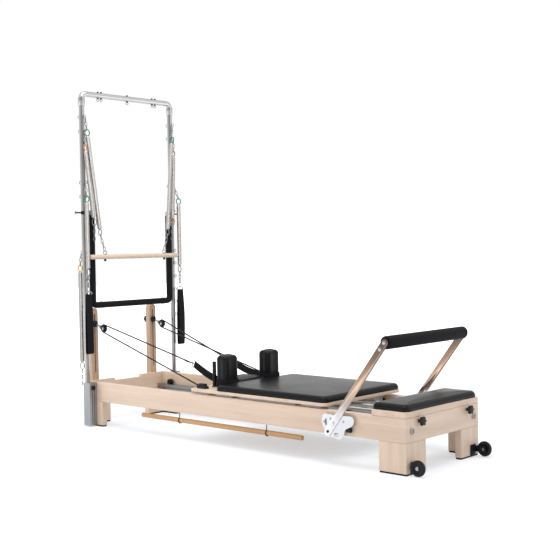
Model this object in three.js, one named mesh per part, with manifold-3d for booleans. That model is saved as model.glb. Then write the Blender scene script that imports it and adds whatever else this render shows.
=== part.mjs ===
// Pilates tower unit: a maple reformer bed on four low legs, with a sprung carriage, a foot bar,
// rope risers and a steel tube tower over the head end.
// Millimetres, +Z up. X runs from the head end to the foot end, and -Y is the near side.
// The origin is on the floor, under the middle of the unit's outer box.
import * as THREE from 'three';
import { mergeVertices } from 'three/addons/utils/BufferGeometryUtils.js';
import Module from 'manifold-3d';

const wasm = await Module();
wasm.setup();

// Driving dimensions
const frameLength = 2472;
const frameWidth = 660;
const railTop = 277;
const railHeight = 120;
const railThickness = 38;
const towerHeight = 2104;
const towerSpan = 737;
const postSetback = 72;
const carriageLength = 1002;
const carriageWidth = 668;
const carriageStart = 971;
const fit = 0.3;
const overrun = 20;

// Places shared by many pieces
const halfFrame = frameWidth / 2;
const railBottom = railTop - railHeight;
const railInside = halfFrame - railThickness;
const riserKnobDepth = 32;
const riserThickness = 40;
const knobReach = riserKnobDepth + riserThickness + 2 * fit;
const transportWheelRadius = 40;
const transportWheelReach = 51;
const footReach = transportWheelReach + transportWheelRadius;
const headX = knobReach - (frameLength + knobReach + footReach) / 2;
const footX = headX + frameLength;
const sides = [
  { name: 'near', way: -1 },
  { name: 'far', way: 1 },
];

// Materials
function finish(color, roughness, metalness) {
  return new THREE.MeshStandardMaterial({ color, roughness, metalness });
}
const maple = () => finish(0xe3c6a4, 0.5, 0);
const beech = () => finish(0xd79a5c, 0.5, 0);
const vinyl = () => finish(0x2a2a2c, 0.45, 0);
const foam = () => finish(0x222224, 0.8, 0);
const plastic = () => finish(0x18181a, 0.5, 0);
const webbing = () => finish(0x161618, 0.9, 0);
const chrome = () => finish(0xc9c9cb, 0.2, 1);
const steel = () => finish(0xb0aeaa, 0.35, 1);
const grey = () => finish(0x9fa4a8, 0.45, 1);

const unit = new THREE.Group();
function add(name, geometry, material) {
  const mesh = new THREE.Mesh(geometry, material);
  mesh.name = name;
  unit.add(mesh);
}

// Joins and cuts
function solid(geometry) {
  const bare = geometry.clone();
  bare.deleteAttribute('normal');
  bare.deleteAttribute('uv');
  const merged = mergeVertices(bare);
  const vertProperties = Float32Array.from(merged.attributes.position.array);
  const triVerts = Uint32Array.from(merged.index.array);
  return new wasm.Manifold(new wasm.Mesh({ numProp: 3, vertProperties, triVerts }));
}
function geometryOf(body) {
  const mesh = body.getMesh();
  const geometry = new THREE.BufferGeometry();
  geometry.setAttribute('position', new THREE.BufferAttribute(Float32Array.from(mesh.vertProperties), 3));
  geometry.setIndex(new THREE.BufferAttribute(Uint32Array.from(mesh.triVerts), 1));
  return geometry;
}
const joined = (pieces) => geometryOf(pieces.map(solid).reduce((a, b) => a.add(b)));
const cut = (piece, tools) => geometryOf(tools.map(solid).reduce((a, b) => a.subtract(b), solid(piece)));

// Plain shapes
function box(x0, x1, y0, y1, z0, z1) {
  const geometry = new THREE.BoxGeometry(x1 - x0, y1 - y0, z1 - z0);
  return geometry.translate((x0 + x1) / 2, (y0 + y1) / 2, (z0 + z1) / 2);
}
function rod(from, to, radius, count = 12) {
  const along = to.clone().sub(from);
  const geometry = new THREE.CylinderGeometry(radius, radius, along.length(), count);
  const turn = new THREE.Quaternion().setFromUnitVectors(at(0, 1, 0), along.clone().normalize());
  return geometry.applyQuaternion(turn).translate(...from.clone().add(to).multiplyScalar(0.5).toArray());
}
const at = (x, y, z) => new THREE.Vector3(x, y, z);

// A tube through given points, with a ring of corners square to the path at each of them
function tubeThrough(points, radius, count) {
  const places = [];
  const faces = [];
  let across = null;
  points.forEach((point, i) => {
    const before = points[Math.max(i - 1, 0)];
    const after = points[Math.min(i + 1, points.length - 1)];
    const along = after.clone().sub(before).normalize();
    if (!across) {
      const helper = Math.abs(along.z) < 0.9 ? at(0, 0, 1) : at(1, 0, 0);
      across = helper.cross(along).normalize();
    }
    across = across.clone().addScaledVector(along, -across.dot(along)).normalize();
    const up = along.clone().cross(across);
    for (let k = 0; k < count; k += 1) {
      const turn = (2 * Math.PI * k) / count;
      const corner = point.clone().addScaledVector(across, radius * Math.cos(turn));
      places.push(...corner.addScaledVector(up, radius * Math.sin(turn)).toArray());
    }
  });
  for (let i = 0; i < points.length - 1; i += 1) {
    for (let k = 0; k < count; k += 1) {
      const a = i * count + k;
      const b = i * count + ((k + 1) % count);
      faces.push(a, b, b + count, a, b + count, a + count);
    }
  }
  const last = (points.length - 1) * count;
  for (let k = 1; k < count - 1; k += 1) {
    faces.push(0, k + 1, k, last, last + k, last + k + 1);
  }
  return indexed(places, faces);
}
function indexed(places, faces) {
  const geometry = new THREE.BufferGeometry();
  geometry.setAttribute('position', new THREE.Float32BufferAttribute(places, 3));
  geometry.setIndex(faces);
  return geometry;
}

// Points on an arc in the plane of two unit vectors
function arc(centre, radius, first, second, start, end, steps) {
  return Array.from({ length: steps + 1 }, (_, i) => {
    const turn = start + ((end - start) * i) / steps;
    const point = centre.clone().addScaledVector(first, radius * Math.cos(turn));
    return point.addScaledVector(second, radius * Math.sin(turn));
  });
}
const alongX = at(1, 0, 0);
const alongY = at(0, 1, 0);
const alongZ = at(0, 0, 1);

// A flat plate cut to an outline in X and Z, from one Y to another
function plateXZ(shape, y0, y1, curveSegments = 6) {
  const geometry = new THREE.ExtrudeGeometry(shape, { depth: y1 - y0, bevelEnabled: false, curveSegments });
  return geometry.rotateX(Math.PI / 2).translate(0, y1, 0);
}
// A flat plate cut to an outline in Y and Z, from one X to another
function plateYZ(shape, x0, x1, curveSegments = 6) {
  const geometry = new THREE.ExtrudeGeometry(shape, { depth: x1 - x0, bevelEnabled: false, curveSegments });
  return geometry.rotateX(Math.PI / 2).rotateZ(Math.PI / 2).translate(x0, 0, 0);
}

// A wheel or knob turned from a profile of [radius, place along the axis], closed on itself or on the axis
function turned(profile, centre, axis, count) {
  const outline = profile.map(([radius, place]) => new THREE.Vector2(radius, place));
  const turn = new THREE.Quaternion().setFromUnitVectors(alongY, axis);
  return new THREE.LatheGeometry(outline, count).applyQuaternion(turn).translate(...centre.toArray());
}

// A spring: a straight lead in on the axis, evenly spaced curls round it, and a straight lead out
const curlSteps = 8;
const wireSides = 5;
const springRadius = 12;
const wireRadius = 1.6;
const gaps = [];
function springPoints(from, to, leadIn, leadOut, curls, radius = springRadius) {
  const along = to.clone().sub(from);
  const length = along.length();
  along.normalize();
  const helper = Math.abs(along.z) > 0.9 ? alongX : alongZ;
  const first = helper.clone().cross(along).normalize();
  const second = along.clone().cross(first);
  const wound = length - leadIn - leadOut;
  const points = [from.clone(), from.clone().addScaledVector(along, leadIn)];
  const steps = curls * curlSteps;
  for (let i = 0; i <= steps; i += 1) {
    const turn = (2 * Math.PI * i) / curlSteps;
    const place = leadIn + 2 * radius + ((wound - 4 * radius) * i) / steps;
    const middle = from.clone().addScaledVector(along, place);
    points.push(arc(middle, radius, first, second, turn, turn, 1)[0]);
  }
  points.push(from.clone().addScaledVector(along, length - leadOut), to.clone());
  return points;
}
function measureGap(name, points) {
  let least = Infinity;
  for (let i = 0; i < points.length; i += 1) {
    for (let j = i + curlSteps - 1; j < points.length; j += 1) {
      least = Math.min(least, points[i].distanceTo(points[j]) - 2 * wireRadius);
    }
  }
  gaps.push(`${name} ${least.toFixed(1)}`);
}

// Side rails, with the end boards between them
const headBoardThickness = 28;
const headNotchHalf = 112;
const headNotchDepth = 16;
const footBoardThickness = 38;
function buildRails() {
  for (const { name, way } of sides) {
    const inner = way * railInside;
    const outer = way * halfFrame;
    const rail = box(headX, footX, Math.min(inner, outer), Math.max(inner, outer), railBottom, railTop);
    add(`side_rail_${name}`, rail, maple());
  }
  const reach = railInside - fit;
  const board = box(headX, headX + headBoardThickness, -reach, reach, railBottom, railTop);
  const notchFloor = railTop - headNotchDepth;
  const notchEnd = headX + headBoardThickness + overrun;
  const notch = box(headX - overrun, notchEnd, -headNotchHalf, headNotchHalf, notchFloor, railTop + overrun);
  add('head_board', cut(board, [notch]), maple());
  add('foot_board', box(footX - footBoardThickness, footX, -reach, reach, railBottom, railTop), maple());
}

// Legs: two boards glued into an L, with a rubber sole
const legAlong = 164;
const legAcross = 169;
const soleThickness = 8;
function buildLegs() {
  for (const { name, way } of sides) {
    for (const [end, place, into] of [['head', headX, 1], ['foot', footX, -1]]) {
      const shape = new THREE.Shape();
      shape.moveTo(place, way * halfFrame);
      shape.lineTo(place + into * legAlong, way * halfFrame);
      shape.lineTo(place + into * legAlong, way * railInside);
      shape.lineTo(place + into * railThickness, way * railInside);
      shape.lineTo(place + into * railThickness, way * (halfFrame - legAcross));
      shape.lineTo(place, way * (halfFrame - legAcross));
      const height = railBottom - fit;
      const leg = new THREE.ExtrudeGeometry(shape, { depth: height, bevelEnabled: false });
      add(`leg_${end}_${name}`, leg, maple());
    }
  }
}

// Aluminium tracks on the inner faces of the rails, which the carriage wheels run on
const trackWidth = 40;
const trackTop = 201;
const trackFloor = 159;
const trackGroove = 10;
const trackInside = railInside - fit - trackWidth;
function buildTracks() {
  const start = headX + headBoardThickness + fit;
  const end = footX - footBoardThickness - fit;
  for (const { name, way } of sides) {
    const inner = way * trackInside;
    const outer = way * (railInside - fit);
    const bar = box(start, end, Math.min(inner, outer), Math.max(inner, outer), trackFloor, trackTop);
    const middle = (trackFloor + trackTop) / 2;
    const grooveFloor = way * (trackInside + trackGroove);
    const mouth = way * (trackInside - overrun);
    const low = middle - trackGroove / 2;
    const y0 = Math.min(mouth, grooveFloor);
    const y1 = Math.max(mouth, grooveFloor);
    const groove = box(start - overrun, end + overrun, y0, y1, low, low + trackGroove);
    add(`track_${name}`, cut(bar, [groove]), grey());
  }
}

// Cushions: a rounded outline, drawn in between its corners, that swells to full width
// above its base, rolls over at the top edge and rises to a crown
const cornerSteps = 3;
const sideSteps = 4;
const cushionBaseInset = 3;
function cushion({ x0, x1, y0, y1, z0, z1, crown, roll, corner, drawn }) {
  const middleX = (x0 + x1) / 2;
  const middleY = (y0 + y1) / 2;
  const halfX = (x1 - x0) / 2;
  const halfY = (y1 - y0) / 2;
  const outline = [];
  const cornerPlaces = [[1, 1, 0], [-1, 1, 1], [-1, -1, 2], [1, -1, 3]];
  for (const [wayX, wayY, quarter] of cornerPlaces) {
    for (let i = 0; i <= cornerSteps; i += 1) {
      const turn = (Math.PI / 2) * (quarter + i / cornerSteps);
      const x = wayX * (halfX - corner) + corner * Math.cos(turn);
      const y = wayY * (halfY - corner) + corner * Math.sin(turn);
      outline.push([x, y]);
    }
    const [fromX, fromY] = outline[outline.length - 1];
    const next = cornerPlaces[(quarter + 1) % 4];
    const startTurn = (Math.PI / 2) * (quarter + 1);
    const toX = next[0] * (halfX - corner) + corner * Math.cos(startTurn);
    const toY = next[1] * (halfY - corner) + corner * Math.sin(startTurn);
    for (let i = 1; i < sideSteps; i += 1) {
      const t = i / sideSteps;
      const pull = drawn * 4 * t * (1 - t);
      const x = fromX + (toX - fromX) * t - pull * Math.cos(startTurn);
      const y = fromY + (toY - fromY) * t - pull * Math.sin(startTurn);
      outline.push([x, y]);
    }
  }
  const edgeTop = z1 - crown;
  const rollMiddle = roll * (1 - Math.SQRT1_2);
  const rings = [
    [cushionBaseInset, z0],
    [0, z0 + (edgeTop - z0) / 3],
    [0, edgeTop - roll],
    [rollMiddle, edgeTop - rollMiddle],
    [roll, edgeTop],
  ];
  const places = [];
  const faces = [];
  for (const [inset, z] of rings) {
    for (const [x, y] of outline) {
      places.push(middleX + x * (1 - inset / halfX), middleY + y * (1 - inset / halfY), z);
    }
  }
  const crownShares = [[0.72, 0.55], [0.4, 0.88]];
  for (const [share, riseShare] of crownShares) {
    const shareX = share * (1 - roll / halfX);
    const shareY = share * (1 - roll / halfY);
    for (const [x, y] of outline) {
      places.push(middleX + x * shareX, middleY + y * shareY, edgeTop + crown * riseShare);
    }
  }
  const count = outline.length;
  const levels = rings.length + crownShares.length;
  places.push(middleX, middleY, z1, middleX, middleY, z0);
  for (let level = 0; level < levels - 1; level += 1) {
    for (let k = 0; k < count; k += 1) {
      const a = level * count + k;
      const b = level * count + ((k + 1) % count);
      faces.push(a, b, b + count, a, b + count, a + count);
    }
  }
  const top = levels * count;
  for (let k = 0; k < count; k += 1) {
    const next = (k + 1) % count;
    faces.push((levels - 1) * count + k, (levels - 1) * count + next, top, next, k, top + 1);
  }
  return indexed(places, faces);
}

// The standing platform at the foot end, and its pad
const platformLength = 206;
const platformThickness = 31;
const platformPadLength = 213;
const platformPadInset = 5;
const platformPadTop = 346;
const platformTop = railTop + fit + platformThickness;
const padCrown = 9;
const padRoll = 14;
const padCorner = 26;
const padDrawn = 3;
function buildPlatform() {
  const board = box(footX - platformLength, footX, -halfFrame, halfFrame, railTop + fit, platformTop);
  add('platform_board', board, maple());
  const pad = cushion({
    x0: footX - platformPadLength,
    x1: footX - fit,
    y0: platformPadInset - halfFrame,
    y1: halfFrame - platformPadInset,
    z0: platformTop + fit,
    z1: platformPadTop,
    crown: padCrown,
    roll: padRoll,
    corner: padCorner,
    drawn: padDrawn,
  });
  add('platform_pad', pad, vinyl());
}

// The spring bar, which holds the foot ends of the carriage springs under the platform's edge
const springBarSetback = 214;
const springBarDepth = 30;
const springBarHeight = 44;
const springBarTop = railTop - fit;
const carriageSpringSpacing = 120;
const carriageSpringHeight = 260;
function buildSpringBar() {
  const start = footX - springBarSetback;
  const reach = railInside - fit;
  const low = springBarTop - springBarHeight;
  add('spring_bar', box(start, start + springBarDepth, -reach, reach, low, springBarTop), steel());
}

// The carriage: a board on four hangers for the wheels, with a block that holds the springs,
// a rope cleat and a loop peg on each side of its head end
const carriageBottom = 291.5;
const carriageThickness = 17.5;
const carriageTop = carriageBottom + carriageThickness;
const carriageHead = headX + carriageStart;
const carriageFoot = carriageHead + carriageLength;
const halfCarriage = carriageWidth / 2;
const wheelRadius = 28;
const wheelWidth = 20;
const wheelSetback = 80;
const axleRadius = 6;
const axleHeight = trackTop + fit + wheelRadius;
const hangerLength = 50;
const hangerThickness = 10;
const hangerDrop = 12;
const springBlockSetback = 350;
const springBlockDepth = 12;
const springBlockHalf = 150;
const springBlockDrop = 46;
const cleatSetback = 69;
const cleatLength = 76;
const cleatWidth = 30;
const cleatHeight = 28;
const cleatPlace = 296;
const pegSetback = 70;
const pegPlace = 202;
const pegRadius = 11;
const pegHeight = 146;
const boardCorner = 20;
const sink = 1;
const wheelPlaces = [carriageHead + wheelSetback, carriageFoot - wheelSetback];
const hangerPlace = trackInside - hangerThickness;
function buildCarriage() {
  const shape = new THREE.Shape();
  shape.moveTo(carriageHead + boardCorner, -halfCarriage);
  shape.lineTo(carriageFoot - boardCorner, -halfCarriage);
  shape.absarc(carriageFoot - boardCorner, boardCorner - halfCarriage, boardCorner, -Math.PI / 2, 0);
  shape.lineTo(carriageFoot, halfCarriage - boardCorner);
  shape.absarc(carriageFoot - boardCorner, halfCarriage - boardCorner, boardCorner, 0, Math.PI / 2);
  shape.lineTo(carriageHead + boardCorner, halfCarriage);
  shape.absarc(carriageHead + boardCorner, halfCarriage - boardCorner, boardCorner, Math.PI / 2, Math.PI);
  shape.lineTo(carriageHead, boardCorner - halfCarriage);
  shape.absarc(carriageHead + boardCorner, boardCorner - halfCarriage, boardCorner, Math.PI, 1.5 * Math.PI);
  const options = { depth: carriageThickness, bevelEnabled: false, curveSegments: 3 };
  const board = new THREE.ExtrudeGeometry(shape, options);
  const pieces = [board.translate(0, 0, carriageBottom)];
  const holes = [];
  for (const place of wheelPlaces) {
    for (const { way } of sides) {
      const inner = way * (hangerPlace - hangerThickness);
      const outer = way * hangerPlace;
      const start = place - hangerLength / 2;
      pieces.push(box(start, start + hangerLength, Math.min(inner, outer), Math.max(inner, outer),
        axleHeight - hangerDrop, carriageBottom + sink));
    }
    const bore = axleRadius + fit;
    holes.push(rod(at(place, -halfCarriage, axleHeight), at(place, halfCarriage, axleHeight), bore));
  }
  const blockX = carriageFoot - springBlockSetback;
  pieces.push(box(blockX - springBlockDepth, blockX, -springBlockHalf, springBlockHalf,
    carriageBottom - springBlockDrop, carriageBottom + sink));
  for (const { way } of sides) {
    const cleatX = carriageHead + cleatSetback;
    pieces.push(box(cleatX - cleatLength / 2, cleatX + cleatLength / 2, way * cleatPlace - cleatWidth / 2,
      way * cleatPlace + cleatWidth / 2, carriageTop - sink, carriageTop + cleatHeight));
    const pegX = carriageHead + pegSetback;
    const pegFoot = at(pegX, way * pegPlace, carriageTop - sink);
    pieces.push(rod(pegFoot, at(pegX, way * pegPlace, carriageTop + pegHeight), pegRadius));
  }
  add('carriage_board', cut(joined(pieces), holes), maple());
}

// Wheels of the carriage, a pair on each axle
const wheelInset = 10;
function buildWheelSets() {
  ['head', 'foot'].forEach((end, i) => {
    const inside = trackInside + wheelInset;
    const outside = inside + wheelWidth;
    const profile = [
      [0, -outside], [wheelRadius, -outside], [wheelRadius, -inside], [axleRadius, -inside],
      [axleRadius, inside], [wheelRadius, inside], [wheelRadius, outside], [0, outside],
    ];
    add(`carriage_wheels_${end}`, turned(profile, at(wheelPlaces[i], 0, axleHeight), alongY, 24), plastic());
  });
}

// Carriage pad, shoulder rests and headrest
const carriagePadStart = 204;
const carriagePadTop = 343;
const restPlace = 178;
const restSetback = 151;
const restDepth = 86;
const restWidth = 112;
const restTop = 501;
const restRoll = 26;
const restCrown = 4;
const restCorner = 28;
const restDrawn = 4;
const headrestStart = 12;
const headrestEnd = 192;
const headrestHalf = 112;
const headrestTop = 353;
const headrestCorner = 24;
function buildPads() {
  const pad = cushion({
    x0: carriageHead + carriagePadStart,
    x1: carriageFoot - fit,
    y0: fit - halfCarriage,
    y1: halfCarriage - fit,
    z0: carriageTop + fit,
    z1: carriagePadTop,
    crown: padCrown,
    roll: padRoll,
    corner: padCorner,
    drawn: padDrawn,
  });
  add('carriage_pad', pad, vinyl());
  for (const { name, way } of sides) {
    const middle = carriageHead + restSetback;
    const rest = cushion({
      x0: middle - restDepth / 2,
      x1: middle + restDepth / 2,
      y0: way * restPlace - restWidth / 2,
      y1: way * restPlace + restWidth / 2,
      z0: carriageTop + fit,
      z1: restTop,
      crown: restCrown,
      roll: restRoll,
      corner: restCorner,
      drawn: restDrawn,
    });
    add(`shoulder_rest_${name}`, rest, vinyl());
  }
  const headrest = cushion({
    x0: carriageHead + headrestStart,
    x1: carriageHead + headrestEnd,
    y0: -headrestHalf,
    y1: headrestHalf,
    z0: carriageTop + fit,
    z1: headrestTop,
    crown: padCrown,
    roll: padRoll,
    corner: headrestCorner,
    drawn: padDrawn,
  });
  add('headrest', headrest, vinyl());
}

// Carriage springs, from the block under the carriage to the spring bar
const springLead = 12;
const carriageSpringCurls = 5;
const carriageSpringRadius = 8;
function buildCarriageSprings() {
  [-1, 0, 1].forEach((place, i) => {
    const y = place * carriageSpringSpacing;
    const from = at(carriageFoot - springBlockSetback + fit, y, carriageSpringHeight);
    const to = at(footX - springBarSetback - fit, y, carriageSpringHeight);
    const name = `carriage_spring_${i + 1}`;
    const points = springPoints(from, to, springLead, springLead, carriageSpringCurls, carriageSpringRadius);
    measureGap(name, points);
    add(name, tubeThrough(points, wireRadius, wireSides), steel());
  });
}

// Risers: slotted posts behind the head board, each with a pulley on a bolt through its slot
const riserPlace = 246;
const riserHalf = 26;
const riserTop = 738;
const slotBottom = 322;
const slotTop = 702;
const slotHalf = 5;
const pulleyBoltHeight = 636;
const pulleyBoltRadius = 4.5;
const pulleyForward = 93;
const pulleyDrop = 26;
const pulleyRadius = 25;
const pulleyWidth = 12;
const pulleyGroove = 5;
const cheekThickness = 3;
const cheekRadius = 17;
const pulleyPinRadius = 4;
const hubRadius = 20;
const hubThickness = 12;
const riserKnobRadius = 24;
const eyeWidth = 8;
const riserBack = headX - fit - riserThickness;
const pulleyX = headX - fit + pulleyForward;
const pulleyZ = pulleyBoltHeight - pulleyDrop;
function buildRisers() {
  for (const { name, way } of sides) {
    const y = way * riserPlace;
    const shape = new THREE.Shape();
    shape.moveTo(y - riserHalf, railBottom);
    shape.lineTo(y + riserHalf, railBottom);
    shape.lineTo(y + riserHalf, riserTop - riserHalf);
    shape.absarc(y, riserTop - riserHalf, riserHalf, 0, Math.PI);
    shape.lineTo(y - riserHalf, railBottom);
    const slot = new THREE.Path();
    slot.moveTo(y - slotHalf, slotBottom + slotHalf);
    slot.absarc(y, slotBottom + slotHalf, slotHalf, Math.PI, 2 * Math.PI);
    slot.lineTo(y + slotHalf, slotTop - slotHalf);
    slot.absarc(y, slotTop - slotHalf, slotHalf, 0, Math.PI);
    slot.lineTo(y - slotHalf, slotBottom + slotHalf);
    shape.holes.push(slot);
    add(`riser_${name}`, plateYZ(shape, riserBack, headX - fit), maple());
    buildPulley(name, y);
  }
}
function buildPulley(name, y) {
  const along = (x) => at(x, y, pulleyBoltHeight);
  const knobFace = riserBack - fit;
  const bolt = rod(along(knobFace - riserKnobDepth / 2), along(headX + hubThickness), pulleyBoltRadius, 8);
  const hub = rod(along(headX), along(headX + hubThickness), hubRadius, 16);
  const knob = rod(along(knobFace - riserKnobDepth), along(knobFace), riserKnobRadius, 10);
  const centre = at(pulleyX, y, pulleyZ);
  const hubFace = at(headX + hubThickness - sink, y, pulleyBoltHeight);
  const toward = centre.clone().sub(hubFace).normalize();
  const neckEnd = centre.clone().addScaledVector(toward, -wrapRadius - ropeRadius - ropeLift - eyeWidth);
  const neck = rod(hubFace, neckEnd, eyeWidth / 2, 8);
  const inner = pulleyWidth / 2 + fit;
  const outer = inner + cheekThickness;
  const bridge = rod(neckEnd.clone().setY(y - outer), neckEnd.clone().setY(y + outer), eyeWidth, 8);
  const cheeks = [-1, 1].flatMap((way) => {
    const from = at(pulleyX, y + way * inner, pulleyZ);
    const to = at(pulleyX, y + way * outer, pulleyZ);
    const armFoot = neckEnd.clone().setY(y + way * inner);
    const arm = rod(armFoot, neckEnd.clone().setY(y + way * outer), eyeWidth, 8);
    const strap = strapBetween(neckEnd, centre, eyeWidth, y + way * inner, y + way * outer);
    return [rod(from, to, cheekRadius, 16), arm, strap];
  });
  const pin = rod(at(pulleyX, y - outer, pulleyZ), at(pulleyX, y + outer, pulleyZ), pulleyPinRadius, 8);
  add(`pulley_block_${name}`, joined([bolt, hub, knob, neck, bridge, ...cheeks, pin]), plastic());
  const rim = pulleyWidth / 2;
  const profile = [
    [pulleyPinRadius + fit, -rim],
    [pulleyRadius, -rim],
    [pulleyRadius - pulleyGroove, -rim / 3],
    [pulleyRadius - pulleyGroove, rim / 3],
    [pulleyRadius, rim],
    [pulleyPinRadius + fit, rim],
    [pulleyPinRadius + fit, -rim],
  ];
  add(`pulley_wheel_${name}`, turned(profile, centre, alongY, 20), plastic());
}
// A flat bar between two points that differ only in X and Z
function strapBetween(from, to, half, y0, y1) {
  const along = to.clone().sub(from).setY(0).normalize();
  const across = at(-along.z, 0, along.x).multiplyScalar(half);
  const corners = [
    from.clone().add(across),
    from.clone().sub(across),
    to.clone().sub(across),
    to.clone().add(across),
  ];
  const shape = new THREE.Shape(corners.map((corner) => new THREE.Vector2(corner.x, corner.z)));
  return plateXZ(shape, Math.min(y0, y1), Math.max(y0, y1));
}

// Ropes, from a shoulder loop over the pulley and back to the cleat on the carriage
const ropeRadius = 3.5;
const ropeSides = 8;
const ropeEndGap = 3;
const ropeRingGap = 1;
const loopReach = 136;
const loopRingX = carriageHead - loopReach;
const loopRingPlace = 178;
const loopRingHeights = { near: 429, far: 394 };
const ropeEntryHeight = 325;
const ropeLift = 1;
const wrapRadius = pulleyRadius - pulleyGroove + ropeRadius + ropeLift;
const wrapSteps = 8;
function buildRopes() {
  for (const { name, way } of sides) {
    const centre = at(pulleyX, way * riserPlace, pulleyZ);
    const ringEnd = at(loopRingX - ropeRingGap, way * loopRingPlace, loopRingHeights[name]);
    const cleatFace = carriageHead + cleatSetback - cleatLength / 2;
    const cleatEnd = at(cleatFace - ropeEndGap, way * cleatPlace, ropeEntryHeight);
    const upper = tangentTurn(centre, ringEnd, 1);
    const lower = tangentTurn(centre, cleatEnd, -1);
    const wrap = arc(centre, wrapRadius, alongX, alongZ, upper, lower + 2 * Math.PI, wrapSteps);
    add(`rope_${name}`, tubeThrough([ringEnd, ...wrap, cleatEnd], ropeRadius, ropeSides), webbing());
  }
}
// The angle round the pulley at which a straight rope to a point leaves it, above or below
function tangentTurn(centre, point, side) {
  const dx = point.x - centre.x;
  const dz = point.z - centre.z;
  return Math.atan2(dz, dx) + side * Math.acos(wrapRadius / Math.hypot(dx, dz));
}

// Shoulder loops: padded webbing round each shoulder rest, drawn out to a ring at the rope's end
const loopWidth = 44;
const loopThickness = 4;
const loopClear = 2;
const loopLow = 315;
const loopSeam = 18;
function buildShoulderLoops() {
  for (const { name, way } of sides) {
    const middleX = carriageHead + restSetback;
    const y = way * restPlace;
    const halfX = restDepth / 2 + loopClear;
    const halfY = restWidth / 2 + loopClear;
    const band = (grow) => roundedRectangle(middleX, y, halfX + grow, halfY + grow, restCorner + grow);
    const shape = band(loopThickness);
    shape.holes.push(band(0));
    const options = { depth: loopWidth, bevelEnabled: false, curveSegments: 3 };
    const wrap = new THREE.ExtrudeGeometry(shape, options).translate(0, 0, loopLow);
    const front = middleX - halfX - loopThickness;
    const y0 = y - loopThickness;
    const y1 = y + loopThickness;
    const seam = box(front - loopSeam, front + sink, y0, y1, loopLow, loopLow + loopWidth);
    const ring = at(loopRingX, way * loopRingPlace, loopRingHeights[name]);
    const nose = at(front - loopSeam / 2, y, loopLow + loopWidth / 2);
    add(`shoulder_loop_${name}`, joined([wrap, seam, ribbon(ring, nose)]), webbing());
  }
}
function roundedRectangle(x, y, halfX, halfY, corner) {
  const shape = new THREE.Shape();
  shape.absarc(x + halfX - corner, y + halfY - corner, corner, 0, Math.PI / 2);
  shape.absarc(x - halfX + corner, y + halfY - corner, corner, Math.PI / 2, Math.PI);
  shape.absarc(x - halfX + corner, y - halfY + corner, corner, Math.PI, 1.5 * Math.PI);
  shape.absarc(x + halfX - corner, y - halfY + corner, corner, 1.5 * Math.PI, 2 * Math.PI);
  shape.closePath();
  return shape;
}
// A straight stretch of doubled webbing that stands on edge
function ribbon(from, to) {
  const along = to.clone().sub(from);
  const length = along.length();
  along.normalize();
  const across = alongZ.clone().cross(along).normalize();
  const upright = along.clone().cross(across);
  const bar = new THREE.BoxGeometry(length, 2 * loopThickness, loopWidth - 2 * sink);
  const basis = new THREE.Matrix4().makeBasis(along, across, upright);
  return bar.applyMatrix4(basis).translate(...from.clone().add(to).multiplyScalar(0.5).toArray());
}

// Tower: two base sockets bolted to the rails, two posts with eye bolts, and the crossbar
const postRadius = 16;
const postX = headX + postSetback;
const postPlace = towerSpan / 2;
const baseHead = 18;
const baseFoot = 42;
const baseOuter = 18;
const baseTop = 277;
const baseFloor = 20;
const baseGroove = 8;
const tubeSides = 16;
const crossRadius = 17;
const crossBend = 30;
const crossHeight = towerHeight - crossRadius;
const socketRadius = 20.5;
const socketLength = 52;
const socketOverlap = 28;
const socketRise = 5;
const socketBottom = crossHeight - crossBend - socketLength + socketRise;
const postTop = socketBottom + socketOverlap;
const eyeReach = 29;
const eyeRadius = 9;
const eyeWire = 2;
const shankRadius = 3;
const pushDrop = 760;
const pushHeight = towerHeight - pushDrop;
const topEyeDrops = [161, 250];
const armEyeRises = [189, 102];
const lowerEyeDrops = [738, 1006, 1090, 1178, 1266, 1349, 1437];
const topEyes = topEyeDrops.map((drop) => towerHeight - drop);
const upperEyes = [...topEyes, ...armEyeRises.map((rise) => pushHeight + rise)];
const lowerEyes = lowerEyeDrops.map((drop) => towerHeight - drop);
const pinForward = 8;
const pinX = postX + pinForward;
const pinSides = 10;
const leverRadius = 11;
const leverReach = 80;
const crossEyes = [-239, -213, 0, 213, 239];
const crossNut = 8;
function eyeBolt(root, toward, ringNormal) {
  const centre = root.clone().addScaledVector(toward, eyeReach);
  const ring = new THREE.TorusGeometry(eyeRadius, eyeWire, 3, 8);
  const turn = new THREE.Quaternion().setFromUnitVectors(alongZ, ringNormal);
  ring.applyQuaternion(turn).translate(...centre.toArray());
  const shank = rod(root, centre.clone().addScaledVector(toward, -eyeRadius), shankRadius, 4);
  return [ring, shank];
}
function buildTower() {
  const footWay = alongX;
  const headWay = alongX.clone().negate();
  for (const { name, way } of sides) {
    const y = way * postPlace;
    buildTowerBase(name, way, y);
    const tube = rod(at(postX, y, baseFloor + fit), at(postX, y, postTop), postRadius, tubeSides);
    const eyes = [
      ...[...upperEyes, ...lowerEyes].flatMap((z) => eyeBolt(at(postX, y, z), footWay, alongY)),
      ...[...upperEyes, lowerEyes[1]].flatMap((z) => eyeBolt(at(postX, y, z), headWay, alongY)),
    ];
    const holeStart = at(pinX, way * (pushPlace - pushRadius), pushHeight);
    const pinHole = rod(holeStart, at(pinX, y + way * fit, pushHeight), pushPinRadius + fit, pinSides);
    const leverEnd = at(pinX, y + way * leverReach, pushHeight);
    const lever = rod(at(pinX, y, pushHeight), leverEnd, leverRadius, pinSides);
    add(`tower_post_${name}`, cut(joined([tube, lever, ...eyes]), [pinHole]), chrome());
  }
  buildCrossbar();
}
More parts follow.
